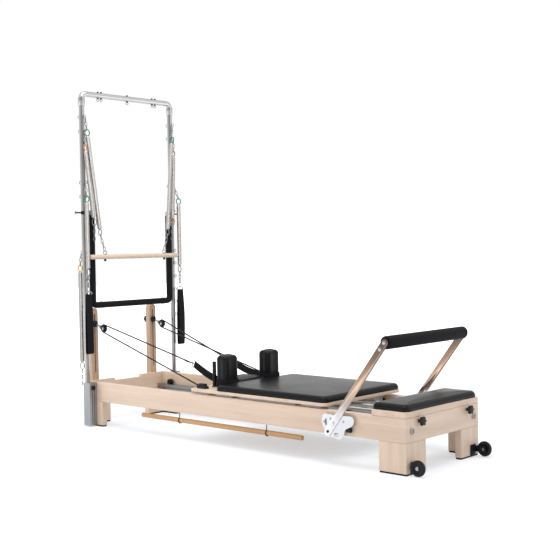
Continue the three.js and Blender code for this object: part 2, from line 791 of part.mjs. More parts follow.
// A grooved block on the rail's outer face, with a bore that the post stands in
function buildTowerBase(name, way, y) {
  const inner = way * (halfFrame + fit);
  const outer = way * (postPlace + baseOuter);
  const faceX = postX + baseFoot;
  const y0 = Math.min(inner, outer);
  const y1 = Math.max(inner, outer);
  const block = box(postX - baseHead, faceX, y0, y1, soleThickness, baseTop);
  const bore = rod(at(postX, y, baseFloor), at(postX, y, baseTop + overrun), postRadius + fit, tubeSides);
  const grooves = [-1, 1].map((place) => {
    const low = (inner + outer) / 2 + place * baseGroove - baseGroove / 4;
    return box(faceX - baseGroove, faceX + overrun, low, low + baseGroove / 2, -overrun, baseTop + overrun);
  });
  add(`tower_base_${name}`, cut(block, [bore, ...grooves]), grey());
}
function buildCrossbar() {
  const bendPlace = postPlace - crossBend;
  const bendHeight = crossHeight - crossBend;
  const start = at(postX, -postPlace, postTop + fit);
  const nearCentre = at(postX, -bendPlace, bendHeight);
  const farCentre = at(postX, bendPlace, bendHeight);
  const firstBend = arc(nearCentre, crossBend, alongY, alongZ, Math.PI, Math.PI / 2, 5);
  const secondBend = arc(farCentre, crossBend, alongY, alongZ, Math.PI / 2, 0, 5);
  const end = at(postX, postPlace, postTop + fit);
  const tube = tubeThrough([start, ...firstBend, ...secondBend, end], crossRadius, tubeSides);
  const sockets = sides.map(({ way }) => {
    const y = way * postPlace;
    const low = at(postX, y, socketBottom);
    return rod(low, low.clone().setZ(socketBottom + socketLength), socketRadius, tubeSides);
  });
  const bores = sides.map(({ way }) => {
    const y = way * postPlace;
    const boreStart = at(postX, y, socketBottom - overrun);
    return rod(boreStart, at(postX, y, postTop + fit), postRadius + fit, tubeSides);
  });
  const eyes = crossEyes.flatMap((y) => {
    const root = at(postX, y, crossHeight);
    const nut = rod(root, at(postX, y, crossHeight + crossRadius + crossNut), shankRadius, 4);
    return [...eyeBolt(root, at(0, 0, -1), alongX), nut];
  });
  add('tower_crossbar', cut(joined([tube, ...sockets, ...eyes]), bores), chrome());
}

// Push-through bar: a foam-covered U that hangs on pins in the posts and swings out past the head end
const pushForward = 16;
const pushX = postX + pushForward;
const pushPlace = 323;
const pushLow = 762;
const pushRadius = 20;
const pushTopReach = 16;
const pushPinRadius = 5;
const pushCorner = 26;
function buildPushBar() {
  const cornerPlace = pushPlace - pushCorner;
  const cornerHeight = pushLow + pushCorner;
  const nearCentre = at(pushX, -cornerPlace, cornerHeight);
  const farCentre = at(pushX, cornerPlace, cornerHeight);
  const start = at(pushX, -pushPlace, pushHeight + pushTopReach);
  const firstBend = arc(nearCentre, pushCorner, alongY, alongZ, Math.PI, 1.5 * Math.PI, 3);
  const secondBend = arc(farCentre, pushCorner, alongY, alongZ, 1.5 * Math.PI, 2 * Math.PI, 3);
  const end = at(pushX, pushPlace, pushHeight + pushTopReach);
  const bar = tubeThrough([start, ...firstBend, ...secondBend, end], pushRadius, 12);
  const pins = sides.map(({ way }) => {
    const root = at(pinX, way * pushPlace, pushHeight);
    return rod(root, at(pinX, way * postPlace, pushHeight), pushPinRadius, pinSides);
  });
  add('push_bar', joined([bar, ...pins]), foam());
}

// Roll-down bar: a maple dowel that hangs on two springs in front of the push-through bar
const rollRadius = 15;
const rollGap = 1;
const rollX = pushX + pushRadius + rollRadius + rollGap;
const rollDrop = 278;
const rollHeight = pushHeight - rollDrop;
const rollHalf = 370;
const rollChainPlace = 249;
const rollSpringRise = 183;
const rollSpringLow = rollHeight + rollSpringRise;
const rollSpringPlace = 288;
const eyeSide = eyeWire + wireRadius;
const eyeGrip = eyeRadius - eyeWire / 2;
const towerCurls = 8;
const chainLength = 100;
function buildRollDown() {
  const barStart = at(rollX, -rollHalf, rollHeight);
  add('roll_down_bar', rod(barStart, at(rollX, rollHalf, rollHeight), rollRadius, 16), maple());
  for (const { name, way } of sides) {
    const top = at(postX + eyeReach, way * (postPlace - eyeSide), upperEyes[0] - eyeGrip);
    const low = at(rollX, way * rollSpringPlace, rollSpringLow);
    const points = springPoints(top, low, chainLength, springLead, towerCurls);
    points.push(at(rollX, way * rollChainPlace, rollHeight + rollRadius + springLead));
    points.push(at(rollX, way * rollChainPlace, rollHeight + rollRadius + fit));
    measureGap(`roll_down_spring_${name}`, points);
    add(`roll_down_spring_${name}`, tubeThrough(points, wireRadius, wireSides), steel());
  }
}

// Springs of the push-through bar, from the second eye bolts down to its arms
const pushSpringForward = 32;
const pushSpringLowForward = 50;
const pushSpringPlace = 368;
const pushSpringLowPlace = 333;
const pushSpringDrop = 26;
const pushHookDrop = 73;
const pushChainShare = 0.233;
function buildPushSprings() {
  const eyeLow = upperEyes[1] - eyeGrip;
  const lowHeight = pushHeight - pushSpringDrop;
  const topHeight = eyeLow - pushChainShare * (eyeLow - lowHeight);
  const hookHeight = pushHeight - pushHookDrop;
  for (const { name, way } of sides) {
    const eye = at(postX + eyeReach, way * (postPlace + eyeSide), eyeLow);
    const top = at(postX + pushSpringForward, way * pushSpringPlace, topHeight);
    const low = at(postX + pushSpringLowForward, way * pushSpringLowPlace, lowHeight);
    const hook = at(postX + pushSpringLowForward, way * pushPlace, hookHeight);
    const arm = at(pushX + pushRadius + fit, way * pushPlace, hookHeight);
    const points = [eye, ...springPoints(top, low, springLead, springLead, towerCurls), hook, arm];
    measureGap(`push_bar_spring_${name}`, points);
    add(`push_bar_spring_${name}`, tubeThrough(points, wireRadius, wireSides), steel());
  }
}

// Arm springs, each with a hand loop on its lower end
const armForward = 54;
const armX = postX + armForward;
const armPlace = 386;
const armHang = 113;
const armTop = upperEyes[2] - armHang;
const armLow = 847;
const armChainShare = 0.272;
const armSpringLow = armLow + armChainShare * (armTop - armLow);
const handLoopTop = 835;
const handLoopLow = 461;
const handLoopWidth = 50;
const handLoopGap = 16;
const handLoopThickness = 4;
const loopSteps = 6;
function buildArmSprings() {
  for (const { name, way } of sides) {
    const y = way * armPlace;
    const eye = at(postX + eyeReach, way * (postPlace + eyeSide), upperEyes[2] - eyeGrip);
    const top = at(armX, y, armTop);
    const wound = springPoints(top, at(armX, y, armSpringLow), springLead, springLead, towerCurls);
    const points = [eye, ...wound, at(armX, y, armLow)];
    measureGap(`arm_spring_${name}`, points);
    add(`arm_spring_${name}`, tubeThrough(points, wireRadius, wireSides), steel());
    add(`hand_loop_${name}`, handLoop(y), webbing());
  }
}
// A long flat loop of webbing seen edge on in X and Z, closed at its sewn top
function handLoop(y) {
  const half = handLoopGap / 2;
  const low = handLoopLow + half + handLoopThickness;
  const outer = half + handLoopThickness;
  const shape = new THREE.Shape();
  shape.moveTo(armX - outer, low);
  shape.absarc(armX, low, outer, Math.PI, 2 * Math.PI);
  shape.lineTo(armX + outer, handLoopTop - handLoopGap);
  shape.lineTo(armX + handLoopThickness, armLow - fit);
  shape.lineTo(armX - handLoopThickness, armLow - fit);
  shape.lineTo(armX - outer, handLoopTop - handLoopGap);
  const hole = new THREE.Path();
  hole.moveTo(armX - half, low);
  hole.absarc(armX, low, half, Math.PI, 2 * Math.PI);
  hole.lineTo(armX + half, handLoopTop - 2 * handLoopGap);
  hole.lineTo(armX, handLoopTop - handLoopGap);
  hole.lineTo(armX - half, handLoopTop - 2 * handLoopGap);
  shape.holes.push(hole);
  return plateXZ(shape, y - handLoopWidth / 2, y + handLoopWidth / 2, loopSteps);
}

// Leg spring, stored on the near post
const legSpringBack = 26;
const legSpringX = postX - legSpringBack;
const legSpringPlace = 387;
const legHang = 108;
const legSpringTop = lowerEyes[1] - legHang;
const legSpringLow = 392;
const legHookLow = 259;
function buildLegSpring() {
  const eye = at(postX - eyeReach, -(postPlace + eyeSide), lowerEyes[1] - eyeGrip);
  const top = at(legSpringX, -legSpringPlace, legSpringTop);
  const low = at(legSpringX, -legSpringPlace, legSpringLow);
  const wound = springPoints(top, low, springLead, springLead, towerCurls);
  const points = [eye, ...wound, at(legSpringX, -legSpringPlace, legHookLow)];
  measureGap('leg_spring', points);
  add('leg_spring', tubeThrough(points, wireRadius, wireSides), steel());
}

// Foot bar: two flat arms that swing on bracket plates, with a padded roller between them
const bracketSetback = 430;
const pivotHeight = 215;
const bracketInner = 344;
const plateThickness = 6;
const bracketHead = 77;
const bracketFoot = 129;
const bracketUp = 48;
const bracketDown = 79;
const plateSteps = 36;
// The plate's outline, in shares of its length and height
const plateShares = [
  [0, 0.62], [0.01, 0.84], [0.04, 0.94], [0.13, 1], [0.41, 0.97], [0.78, 0.99],
  [0.94, 0.99], [1, 0.86], [0.98, 0.66], [0.84, 0.52], [0.74, 0.44], [0.7, 0.28],
  [0.66, 0.1], [0.57, 0], [0.46, 0.04], [0.23, 0.13], [0.11, 0.26], [0.05, 0.45],
];
// From the pivot: the two slots' start and end along X and Z, and the spacers' places
const plateSlots = [[-55, -43, -10, 22], [5, 28, -62, -46]];
const spacerPlaces = [[-19, 24], [0, 0], [64, 16]];
const spacerRadius = 12;
const pivotRadius = 6;
const pivotHeadRadius = 11;
const pivotHeadThickness = 5;
const armRun = 329;
const armRise = 427;
const armHalf = 26;
const armTail = 60;
const armThickness = 8;
const footRollerRadius = 33;
const rollerAxleRadius = 8;
const foamEnd = 6;
const pivotX = footX - bracketSetback;
const armInner = bracketInner + plateThickness + fit;
const armOuter = armInner + armThickness;
const rollerX = pivotX + armRun;
const rollerHeight = pivotHeight + armRise;
function buildFootBar() {
  const angle = Math.atan2(armRise, armRun);
  const arms = sides.map(({ name, way }) => {
    buildBracket(name, way);
    const shape = new THREE.Shape();
    shape.absarc(rollerX, rollerHeight, armHalf, angle - Math.PI / 2, angle + Math.PI / 2);
    const tailX = pivotX - armTail * Math.cos(angle);
    const tailHeight = pivotHeight - armTail * Math.sin(angle);
    shape.absarc(tailX, tailHeight, armHalf, angle + Math.PI / 2, angle + 1.5 * Math.PI);
    shape.closePath();
    const hole = new THREE.Path();
    hole.absarc(pivotX, pivotHeight, pivotRadius + fit, 0, 2 * Math.PI);
    shape.holes.push(hole);
    const y0 = way * armInner;
    const y1 = way * armOuter;
    return plateXZ(shape, Math.min(y0, y1), Math.max(y0, y1));
  });
  const inArm = armInner + armThickness / 2;
  const axleStart = at(rollerX, -inArm, rollerHeight);
  const axle = rod(axleStart, axleStart.clone().setY(inArm), rollerAxleRadius, 12);
  add('footbar_frame', joined([...arms, axle]), chrome());
  const reach = armInner - fit;
  const bore = rollerAxleRadius + fit;
  const profile = [
    [bore, -reach], [footRollerRadius - foamEnd, -reach], [footRollerRadius, foamEnd - reach],
    [footRollerRadius, reach - foamEnd], [footRollerRadius - foamEnd, reach], [bore, reach], [bore, -reach],
  ];
  add('footbar_roller', turned(profile, at(rollerX, 0, rollerHeight), alongY, 24), foam());
}
function plateShape() {
  const length = bracketHead + bracketFoot;
  const height = bracketUp + bracketDown;
  const places = plateShares.map(([lengthShare, heightShare]) => {
    const x = pivotX - bracketHead + length * lengthShare;
    return at(x, 0, pivotHeight - bracketDown + height * heightShare);
  });
  const curve = new THREE.CatmullRomCurve3(places, true, 'centripetal');
  const points = curve.getPoints(plateSteps).slice(1);
  return new THREE.Shape(points.map((point) => new THREE.Vector2(point.x, point.z)));
}
function buildBracket(name, way) {
  const plateNear = way * bracketInner;
  const plateFar = way * (bracketInner + plateThickness);
  const y0 = Math.min(plateNear, plateFar);
  const y1 = Math.max(plateNear, plateFar);
  const slots = plateSlots.map(([x0, x1, z0, z1]) => {
    return box(pivotX + x0, pivotX + x1, y0 - overrun, y1 + overrun, pivotHeight + z0, pivotHeight + z1);
  });
  const plate = cut(plateXZ(plateShape(), y0, y1), slots);
  const railFace = way * (halfFrame + fit);
  const inPlate = way * (bracketInner + sink);
  const spacers = spacerPlaces.map(([dx, dz]) => {
    const root = at(pivotX + dx, railFace, pivotHeight + dz);
    return rod(root, at(pivotX + dx, inPlate, pivotHeight + dz), spacerRadius, 10);
  });
  const headFace = at(pivotX, way * (armOuter + fit), pivotHeight);
  const headEnd = headFace.clone().setY(way * (armOuter + fit + pivotHeadThickness));
  const pin = rod(at(pivotX, railFace, pivotHeight), headEnd, pivotRadius, 12);
  const head = rod(headFace, headEnd, pivotHeadRadius, 12);
  add(`footbar_bracket_${name}`, joined([plate, ...spacers, pin, head]), chrome());
}

// Star knobs on the foot board
const starPlace = 219;
const starHeight = 256;
const starLobes = 6;
const starRadius = 24;
const starValley = 17;
const starThickness = 18;
const starStem = 14;
const starNeck = 8;
function buildStarKnobs() {
  for (const { name, way } of sides) {
    const shape = new THREE.Shape();
    for (let i = 0; i < 2 * starLobes; i += 1) {
      const radius = i % 2 ? starValley : starRadius;
      const turn = (Math.PI * i) / starLobes;
      const y = way * starPlace + radius * Math.cos(turn);
      const z = starHeight + radius * Math.sin(turn);
      if (i === 0) shape.moveTo(y, z);
      else shape.lineTo(y, z);
    }
    const headFace = footX + fit + starStem;
    const head = plateYZ(shape, headFace, headFace + starThickness);
    const along = (x) => at(x, way * starPlace, starHeight);
    const stem = rod(along(footX + fit), along(headFace + sink), starNeck, 10);
    add(`foot_knob_${name}`, joined([head, stem]), plastic());
  }
}

// Transport wheels at the foot end, just clear of the floor, each beside a bracket on the leg
const transportPlace = 306;
const transportHeight = 42;
const transportWidth = 22;
const forkThickness = 5;
const forkHeight = 78;
const forkHalf = 16;
const forkPlate = 5;
const forkPlateWidth = 34;
const hubBore = 5;
const transportCorner = 4;
function buildTransportWheels() {
  for (const { name, way } of sides) {
    const x = footX + transportWheelReach;
    const middle = way * transportPlace;
    const inner = middle - way * (transportWidth / 2 + fit);
    const forkInner = inner - way * forkThickness;
    const boardFace = footX + fit;
    const plateEnd = inner - way * forkPlateWidth;
    const plate = box(boardFace, boardFace + forkPlate, Math.min(inner, plateEnd), Math.max(inner, plateEnd),
      soleThickness, forkHeight);
    const cheek = box(boardFace, x + forkHalf, Math.min(inner, forkInner), Math.max(inner, forkInner),
      transportHeight - forkHalf, transportHeight + forkHalf);
    const outer = middle + way * (transportWidth / 2 + fit);
    const axle = rod(at(x, forkInner, transportHeight), at(x, outer, transportHeight), hubBore, 10);
    add(`transport_fork_${name}`, joined([plate, cheek, axle]), plastic());
    const half = transportWidth / 2;
    const bore = hubBore + fit;
    const flat = transportWheelRadius - transportCorner;
    const shoulder = half - transportCorner;
    const profile = [
      [bore, -half], [flat, -half], [transportWheelRadius, -shoulder],
      [transportWheelRadius, shoulder], [flat, half], [bore, half], [bore, -half],
    ];
    add(`transport_wheel_${name}`, turned(profile, at(x, middle, transportHeight), alongY, 24), plastic());
  }
}

// Exercise pole, hung under the near rail on two hooks
const poleStart = 526;
const poleEnd = 1804;
const poleRadius = 14;
const polePlace = 311;
const poleHeight = 110;
const hookPlaces = [863, 1552];
const hookRadius = 4;
function buildPole() {
  const start = at(headX + poleStart, -polePlace, poleHeight);
  const pole = rod(start, at(headX + poleEnd, -polePlace, poleHeight), poleRadius, 12);
  const hooks = hookPlaces.map((place) => {
    const low = at(headX + place, -polePlace, poleHeight);
    return rod(low, low.clone().setZ(railBottom - fit), hookRadius, 8);
  });
  add('pole', joined([pole, ...hooks]), beech());
}

buildRails();
buildLegs();
buildTracks();
buildPlatform();
buildSpringBar();
buildCarriage();
buildWheelSets();
buildPads();
buildCarriageSprings();
buildRisers();
buildRopes();
buildShoulderLoops();
buildTower();
buildPushBar();
buildRollDown();
buildPushSprings();
buildArmSprings();
buildLegSpring();
buildFootBar();
buildStarKnobs();
buildTransportWheels();
buildPole();
console.log(`least gap of each spring to itself, mm: ${gaps.join(', ')}`);

export default unit;
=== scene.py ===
import bpy
import math
import numpy as np
from mathutils import Matrix, Vector


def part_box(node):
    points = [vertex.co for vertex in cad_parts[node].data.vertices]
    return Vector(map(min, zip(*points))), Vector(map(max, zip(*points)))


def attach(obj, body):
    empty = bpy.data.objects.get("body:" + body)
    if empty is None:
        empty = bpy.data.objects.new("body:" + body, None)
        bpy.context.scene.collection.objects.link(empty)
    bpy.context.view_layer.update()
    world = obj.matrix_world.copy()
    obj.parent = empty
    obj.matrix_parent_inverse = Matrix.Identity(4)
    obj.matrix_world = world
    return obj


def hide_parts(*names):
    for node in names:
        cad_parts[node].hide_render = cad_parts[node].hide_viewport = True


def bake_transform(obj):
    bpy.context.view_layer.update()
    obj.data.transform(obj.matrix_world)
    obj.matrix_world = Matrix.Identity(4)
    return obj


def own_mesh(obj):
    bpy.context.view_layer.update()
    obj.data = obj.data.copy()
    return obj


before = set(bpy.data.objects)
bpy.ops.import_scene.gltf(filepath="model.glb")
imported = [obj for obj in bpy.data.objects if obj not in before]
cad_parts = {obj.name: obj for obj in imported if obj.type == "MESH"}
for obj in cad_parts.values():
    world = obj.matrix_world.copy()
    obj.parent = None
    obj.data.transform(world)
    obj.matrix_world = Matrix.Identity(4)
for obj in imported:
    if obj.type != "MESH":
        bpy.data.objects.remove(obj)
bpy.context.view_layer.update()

# Camera: low at the foot end's near corner, a little over a metre up, looking along the bed
# towards the tower, as the photograph was taken. Places below are millimetres from the head end
# and from the undersides of the legs' boards, which stand 9 mm above the floor on rubber soles.
MM = 0.001
head_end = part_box("side_rail_near")[0][0]
origin = np.array([head_end, 0, 9 * MM])
heading, dip, lean = 2.3006503, -0.0334911, -0.0160492
stand = [head_end + 5.35733, -4.44390, 1.12315]
sensor, focal_pixels, picture_pixels = 36, 1045.8155, 560
ahead = np.array([math.cos(dip) * math.cos(heading), math.cos(dip) * math.sin(heading), math.sin(dip)])
level = np.array([math.sin(heading), -math.cos(heading), 0.0])
rise = np.cross(level, ahead)
rightward = math.cos(lean) * level + math.sin(lean) * rise
upward = math.cos(lean) * rise - math.sin(lean) * level
lens = bpy.data.cameras.new("camera")
lens.sensor_width = sensor
lens.lens = sensor * focal_pixels / picture_pixels
lens.clip_end = 60
camera = bpy.data.objects.new("camera", lens)
camera.matrix_world = Matrix(np.vstack([np.column_stack([rightward, upward, -ahead, stand]), [0, 0, 0, 1]]))
bpy.context.scene.collection.objects.link(camera)
bpy.context.scene.camera = camera


# Light: one broad soft lamp overhead, a weaker one from the camera's left and a plain pale room.
# The room shows white to the camera and in metal and glass, and lights the object with less. The
# left lamp doesn't show in the bright tubes, which would turn white.
def lamp(name, place, target, size, watts):
    """A square lamp at a place, turned to a target."""
    light = bpy.data.lights.new(name, "AREA")
    light.size = size
    light.energy = watts
    holder = bpy.data.objects.new(name, light)
    holder.location = place
    holder.rotation_euler = (Vector(target) - Vector(place)).to_track_quat("-Z", "Y").to_euler()
    bpy.context.scene.collection.objects.link(holder)
    return holder


lamp("lamp_top", (0.6, -0.8, 4.6), (0, 0, 0.4), 3.6, 120)
lamp("lamp_left", (-3.2, -3.6, 2.6), (-0.4, 0, 0.7), 2.4, 66).visible_glossy = False
lamp("lamp_right", (4.2, 1.6, 2.4), (0.4, 0, 0.4), 2.0, 16)


class Wire:
    """One output of a node. Arithmetic on it adds Math nodes to the same material."""

    def __init__(self, finish, socket):
        self.finish = finish
        self.socket = socket

    def maths(self, operation, *values):
        """Adds the Math node of an operation on values or wires."""
        return self.finish.node("ShaderNodeMath", {"operation": operation}, dict(enumerate(values)))

    def most(self, other):
        """The larger of two values."""
        return self.maths("MAXIMUM", self, other)

    def least(self, other):
        """The smaller of two values."""
        return self.maths("MINIMUM", self, other)

    def sine(self):
        """The sine of a value in radians."""
        return self.maths("SINE", self)

    def __add__(self, other):
        return self.maths("ADD", self, other)

    def __radd__(self, other):
        return self.maths("ADD", other, self)

    def __sub__(self, other):
        return self.maths("SUBTRACT", self, other)

    def __rsub__(self, other):
        return self.maths("SUBTRACT", other, self)

    def __mul__(self, other):
        return self.maths("MULTIPLY", self, other)


class Finish:
    """A node tree, with one method for every kind of node."""

    def __init__(self, owner):
        owner.use_nodes = True
        self.owner = owner
        self.tree = owner.node_tree
        self.tree.nodes.clear()

    def node(self, kind, settings=None, inputs=None, output=0):
        """Adds a node: its settings first, then the values or links of its sockets. A ramp's stops are a
        setting."""
        made = self.tree.nodes.new(kind)
        for key, value in (settings or {}).items():
            if key == "stops":
                ramp = made.color_ramp
                while len(ramp.elements) < len(value):
                    ramp.elements.new(0.5)
                for element, (place, colour) in zip(ramp.elements, value):
                    element.position = place
                    element.color = colour
            else:
                setattr(made, key, value)
        for key, value in (inputs or {}).items():
            if isinstance(value, Wire):
                self.tree.links.new(value.socket, made.inputs[key])
            else:
                made.inputs[key].default_value = value
        return Wire(self, made.outputs[output]) if len(made.outputs) else None

    def mix(self, share, first, second):
        """A colour between two, by a share from 0 to 1."""
        return self.node("ShaderNodeMix", {"data_type": "RGBA"}, {0: share, 6: first, 7: second}, 2)


room = Finish(bpy.context.scene.world or bpy.data.worlds.new("room"))
bpy.context.scene.world = room.owner
by_eye, by_mirror, through_glass = [room.node("ShaderNodeLightPath", output=f"Is {kind} Ray")
                                    for kind in ("Camera", "Glossy", "Transmission")]
mirrored_share = 0.86
shown = by_eye.most(through_glass).most(by_mirror * mirrored_share)
lit = room.node("ShaderNodeBackground", None, {"Color": (0.93, 0.95, 1, 1), "Strength": 0.62})
white = room.node("ShaderNodeBackground", None, {"Color": (1, 1, 1, 1), "Strength": 1.0})
both = room.node("ShaderNodeMixShader", None, {0: shown, 1: lit, 2: white})
room.node("ShaderNodeOutputWorld", None, {"Surface": both})

# Floor: a plain pale studio floor. Near the object it keeps a soft shadow, and further off it
# shows as white as the room behind it.
bpy.ops.mesh.primitive_plane_add(size=40)
floor = bpy.context.object
floor.name = "floor"
pale = Finish(bpy.data.materials.new("pale_floor"))
by_eye, by_mirror = [pale.node("ShaderNodeLightPath", output=f"Is {kind} Ray")
                     for kind in ("Camera", "Glossy")]
matt = pale.node("ShaderNodeBsdfDiffuse", None, {"Color": (0.83, 0.86, 0.90, 1)})
glow = pale.node("ShaderNodeEmission", None, {"Color": (1, 1, 1, 1), "Strength": 1.68})
where = pale.node("ShaderNodeTexCoord", output="Object")
away = pale.node("ShaderNodeVectorMath", {"operation": "LENGTH"}, {0: where}, "Value")
shadow_reach, fade, least_glow = 1.7, 0.55, 0.28
share = ((away - shadow_reach) * fade).most(least_glow).least(1.0)
bright = pale.node("ShaderNodeMixShader", None, {0: by_eye.most(by_mirror) * share, 1: matt, 2: glow})
pale.node("ShaderNodeOutputMaterial", None, {"Surface": bright})
floor.data.materials.append(pale.owner)


# Bed frame: planed maple boards, long grain along each board, clear satin lacquer, every edge
# eased by hand to about 3 mm. Rails, end boards and the platform's board are single boards.
def surface(finish, **sockets):
    """Ends a material with one shader, whose sockets are given by name with _ for a space."""
    shader = finish.node("ShaderNodeBsdfPrincipled", None,
                         {name.replace("_", " "): value for name, value in sockets.items()})
    finish.node("ShaderNodeOutputMaterial", None, {"Surface": shader})
    return finish.owner


def wood(name, pale_tone, dark_tone, stretch, shift=(0, 0, 0)):
    """Wood: noise drawn out along the grain gives bands, a finer one gives pores and short flecks."""
    finish = Finish(bpy.data.materials.new(name))
    where = finish.node("ShaderNodeTexCoord", output="Object")
    drawn = finish.node("ShaderNodeMapping", None, {"Vector": where, "Scale": stretch, "Location": shift})
    bands = finish.node("ShaderNodeTexNoise", None,
                        {"Vector": drawn, "Scale": 1.0, "Detail": 5.0, "Distortion": 0.6})
    flecks = finish.node("ShaderNodeTexNoise", None, {"Vector": drawn, "Scale": 9.0, "Detail": 3.0})
    cloud = finish.node("ShaderNodeTexNoise", None, {"Vector": where, "Scale": 2.2, "Detail": 1.0})
    black, white = (0, 0, 0, 1), (1, 1, 1, 1)
    figure = finish.node("ShaderNodeValToRGB", {"stops": [(0.36, black), (0.66, white)]}, {"Fac": bands})
    pores = finish.node("ShaderNodeValToRGB", {"stops": [(0.56, black), (0.72, white)]}, {"Fac": flecks})
    tone = finish.mix(figure * 0.42 + pores * 0.3 + (cloud - 0.5) * 0.5, (*pale_tone, 1), (*dark_tone, 1))
    relief = finish.node("ShaderNodeBump", None,
                         {"Strength": 0.12, "Distance": 0.0006, "Height": pores + bands * 0.4})
    return surface(finish, Base_Color=tone, Roughness=0.36 + pores * 0.14, Normal=relief, Coat_Weight=0.12,
                   Coat_Roughness=0.25)


maple_pale, maple_dark = (0.835, 0.64, 0.495), (0.64, 0.46, 0.31)
maple_along = wood("maple_along", maple_pale, maple_dark, (1.1, 22, 22))
maple_across = wood("maple_across", maple_pale, maple_dark, (22, 1.1, 22), (3, 1, 0))
maple_upright = wood("maple_upright", maple_pale, maple_dark, (22, 22, 1.2), (0, 4, 2))


def closed(grid, ends=True):
    """Faces of a grid of points whose rows close on themselves. Its first and last rows are closed by a
    face each, or joined to each other where the grid also closes end to end."""
    rows, count = grid.shape[:2]
    steps = rows - 1 if ends else rows
    row, column = np.meshgrid(np.arange(steps), np.arange(count), indexing="ij")
    after, beside = (row + 1) % rows, (column + 1) % count
    quads = np.stack([row * count + column, row * count + beside, after * count + beside,
                      after * count + column], -1).reshape(-1, 4)
    faces = quads.tolist()
    if ends:
        faces += [list(range(count - 1, -1, -1)), list(range((rows - 1) * count, rows * count))]
    corners = grid.reshape(-1, 3)
    a, b, c, d = (corners[quads[:, k]] - corners.mean(0) for k in range(4))
    volume = np.einsum("ij,ij->i", a, np.cross(b, c) + np.cross(c, d)).sum()
    if volume < 0:
        faces = [face[::-1] for face in faces]
    return corners, faces


def piece(name, grids, material, body, stands_for=(), crease=35, ends=True):
    """One named object from one or more closed grids, in millimetres from the head end. It rides on a
    body, or on none."""
    corners, faces, start = [], [], 0
    for grid in grids:
        points, sides = closed(np.asarray(grid, float), ends)
        corners.append(points)
        faces += [[start + k for k in side] for side in sides]
        start += len(points)
    mesh = bpy.data.meshes.new(name)
    mesh.from_pydata((np.vstack(corners) * MM + origin), [], faces)
    mesh.shade_smooth()
    mesh.set_sharp_from_angle(angle=math.radians(crease))
    mesh.materials.append(material)
    made = bpy.data.objects.new(name, mesh)
    bpy.context.scene.collection.objects.link(made)
    if stands_for:
        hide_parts(*stands_for)
    if body:
        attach(made, body)
    return made


def span(node):
    """A solid's lowest and highest corner, in millimetres from the head end."""
    low, high = (np.array(corner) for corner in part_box(node))
    return (low - origin) / MM, (high - origin) / MM


def rounded(half, corner, steps):
    """A rectangle with rounded corners: the centre of the arc that each of its points lies on, and the
    direction from that centre to the point."""
    turn = (np.arange(4)[:, None] * np.pi / 2 + np.linspace(0, np.pi / 2, steps)).ravel()
    quarter = np.repeat([[1, 1], [-1, 1], [-1, -1], [1, -1]], steps, axis=0)
    return quarter * (np.array(half) - corner), np.stack([np.cos(turn), np.sin(turn)], 1)


def board(low, high, edge, along, corner=None, steps=5):
    """A board: an outline with rounded corners, carried along one axis. Near each end the outline
    draws in on a quarter circle, so that the end's edges are as round as the others."""
    corner = corner or edge
    low, high = np.array([low, high], float)
    centre, half = (low + high) / 2, (high - low) / 2
    across = [axis for axis in range(3) if axis != along]
    arcs, out = rounded(half[across], corner, steps)
    ease = np.radians([0, 22, 45, 67, 84])
    inset = np.concatenate([edge * (1 - np.cos(ease[::-1])), edge * (1 - np.cos(ease))])
    reach = half[along] - edge + edge * np.sin(ease)
    place = np.concatenate([-reach[::-1], reach])
    grid = np.zeros((len(place), len(out), 3))
    grid[..., across] = arcs + np.maximum(corner - inset, 0.05)[:, None, None] * out
    grid[..., along] = place[:, None]
    return grid + centre


def board_for(node, material, edge, along):
    """A board in the place of a solid."""
    piece(node + "_board", [board(*span(node), edge, along)], material, "bed", [node])


def dress(node, material):
    """Gives a solid that keeps its shape its material."""
    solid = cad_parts[node]
    solid.data.materials.clear()
    solid.data.materials.append(material)


for side in ("near", "far"):
    board_for(f"side_rail_{side}", maple_along, 3.0, 0)
board_for("foot_board", maple_across, 3.0, 1)
board_for("platform_board", maple_across, 4.0, 1)
dress("head_board", maple_across)

# Legs: two maple boards glued into an L at each corner, under the rail and the end board, on a
# thin black rubber sole.
sole_height, board_thick, across_reach = 9, 38, 161
board_edge, sole_edge, sole_inset, sole_sink = 2.5, 1.5, 3, 0.5
both_sides = (("near", -1), ("far", 1))


def plain(name, colour, roughness, grain=0.0, metal=0.0, size=900.0, **more):
    """A moulded or cast finish: one colour, clouded a little, with a fine grain in its surface."""
    finish = Finish(bpy.data.materials.new(name))
    where = finish.node("ShaderNodeTexCoord", output="Object")
    fine = finish.node("ShaderNodeTexNoise", None, {"Vector": where, "Scale": size, "Detail": 2.0})
    broad = finish.node("ShaderNodeTexNoise", None, {"Vector": where, "Scale": 18.0, "Detail": 3.0})
    tone = finish.mix(broad * 0.5, (*colour, 1), (*(min(1, c * 1.5 + 0.004) for c in colour), 1))
    relief = finish.node("ShaderNodeBump", None, {"Strength": grain, "Distance": 0.0004, "Height": fine})
    return surface(finish, Base_Color=tone, Roughness=(broad - 0.5) * 0.12 + roughness, Normal=relief,
                   Metallic=metal, **more)


